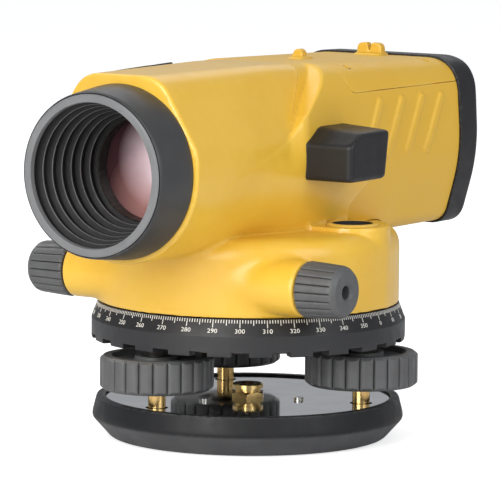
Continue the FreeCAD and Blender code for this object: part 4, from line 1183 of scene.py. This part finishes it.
# ---- studio ----
AZIMUTH = 33.0  # degrees, of the camera
ELEVATION = 6.8
ROLL = 0.44
DISTANCE = 1.5  # metres from the camera to its target
TARGET_SIDE = 0.39
TARGET_Z = AXIS_Z - 32.7
LIGHT_TARGET = Vector((0.0, 0.0, 0.07))
FLOOR_REACH = 30.0  # metres
FLOOR_HEIGHT = -0.0002


def towards(azimuth, elevation):
    """Unit vector from the object to a viewer at an azimuth and elevation in degrees."""
    a, e = math.radians(azimuth), math.radians(elevation)
    return Vector((math.sin(a) * math.cos(e), -math.cos(a) * math.cos(e), math.sin(e)))


def build_camera():
    back = towards(AZIMUTH, ELEVATION)
    right = towards(AZIMUTH + 90.0, 0.0)
    target = right * TARGET_SIDE * MM + Vector((0.0, 0.0, TARGET_Z * MM))
    data = bpy.data.cameras.new("camera")
    data.lens = 320.0
    camera = add_object("camera", data)
    facing = (-back).to_track_quat("-Z", "Y").to_matrix().to_4x4()
    roll = Matrix.Rotation(math.radians(ROLL), 4, "Z")
    camera.matrix_world = Matrix.Translation(target + back * DISTANCE) @ facing @ roll
    bpy.context.scene.camera = camera


def add_area_light(name, azimuth, elevation, distance, size, power, colour=(1.0, 1.0, 1.0)):
    """A soft square light aimed at the middle of the object, placed as the camera is."""
    back = towards(azimuth, elevation)
    data = bpy.data.lights.new(name, "AREA")
    data.shape = "SQUARE"
    data.size = size
    data.energy = power
    data.color = colour
    light = add_object(name, data)
    light.location = LIGHT_TARGET + back * distance
    light.rotation_mode = "QUATERNION"
    light.rotation_quaternion = (-back).to_track_quat("-Z", "Y")


def build_floor():
    """A pale floor that glows for the camera only, so that it meets the sky unseen."""
    shader = Shader("studio_floor", srgb(238, 238, 238), 0.75)
    shader.mottle(srgb(232, 232, 232), 60.0, 0.4)
    seen = shader.node("LightPath").outputs["Is Camera Ray"]
    shader.finish(0.05, 40.0, Emission_Strength=shader.times(seen, 0.62),
                  Emission_Color=(1.0, 1.0, 1.0, 1.0))
    mesh = bpy.data.meshes.new("floor")
    signs = ((-1, -1), (1, -1), (1, 1), (-1, 1))
    corners = [(x * FLOOR_REACH, y * FLOOR_REACH, FLOOR_HEIGHT) for x, y in signs]
    mesh.from_pydata(corners, [], [(0, 1, 2, 3)])
    mesh.materials.append(shader.material)
    add_object("floor", mesh)


def build_lights():
    """A pale sky, a large key light from the front left and soft lights around."""
    world = bpy.data.worlds.new("studio")
    world.use_nodes = True
    background = world.node_tree.nodes["Background"]
    background.inputs["Color"].default_value = (0.93, 0.95, 1.0, 1.0)
    background.inputs["Strength"].default_value = 0.45
    bpy.context.scene.world = world
    add_area_light("key", 2.0, 21.0, 0.9, 0.55, 6.6, (1.0, 0.985, 0.96))
    add_area_light("fill", 78.0, 24.0, 1.1, 0.7, 4.0)
    add_area_light("back", 205.0, 40.0, 1.0, 0.6, 0.9)
    add_area_light("rim", 256.0, 42.0, 1.2, 0.4, 2.6)
    bpy.context.scene.view_settings.view_transform = "Standard"


paint_cad_nodes()
build_shells()
build_foot_knobs()
build_tangent_knobs()
build_focusing_knob()
build_dioptre_ring()
build_eyecup()
build_hood()
build_vial()
build_circle()
build_graduations()
build_numbers()
build_floor()
build_lights()
build_camera()
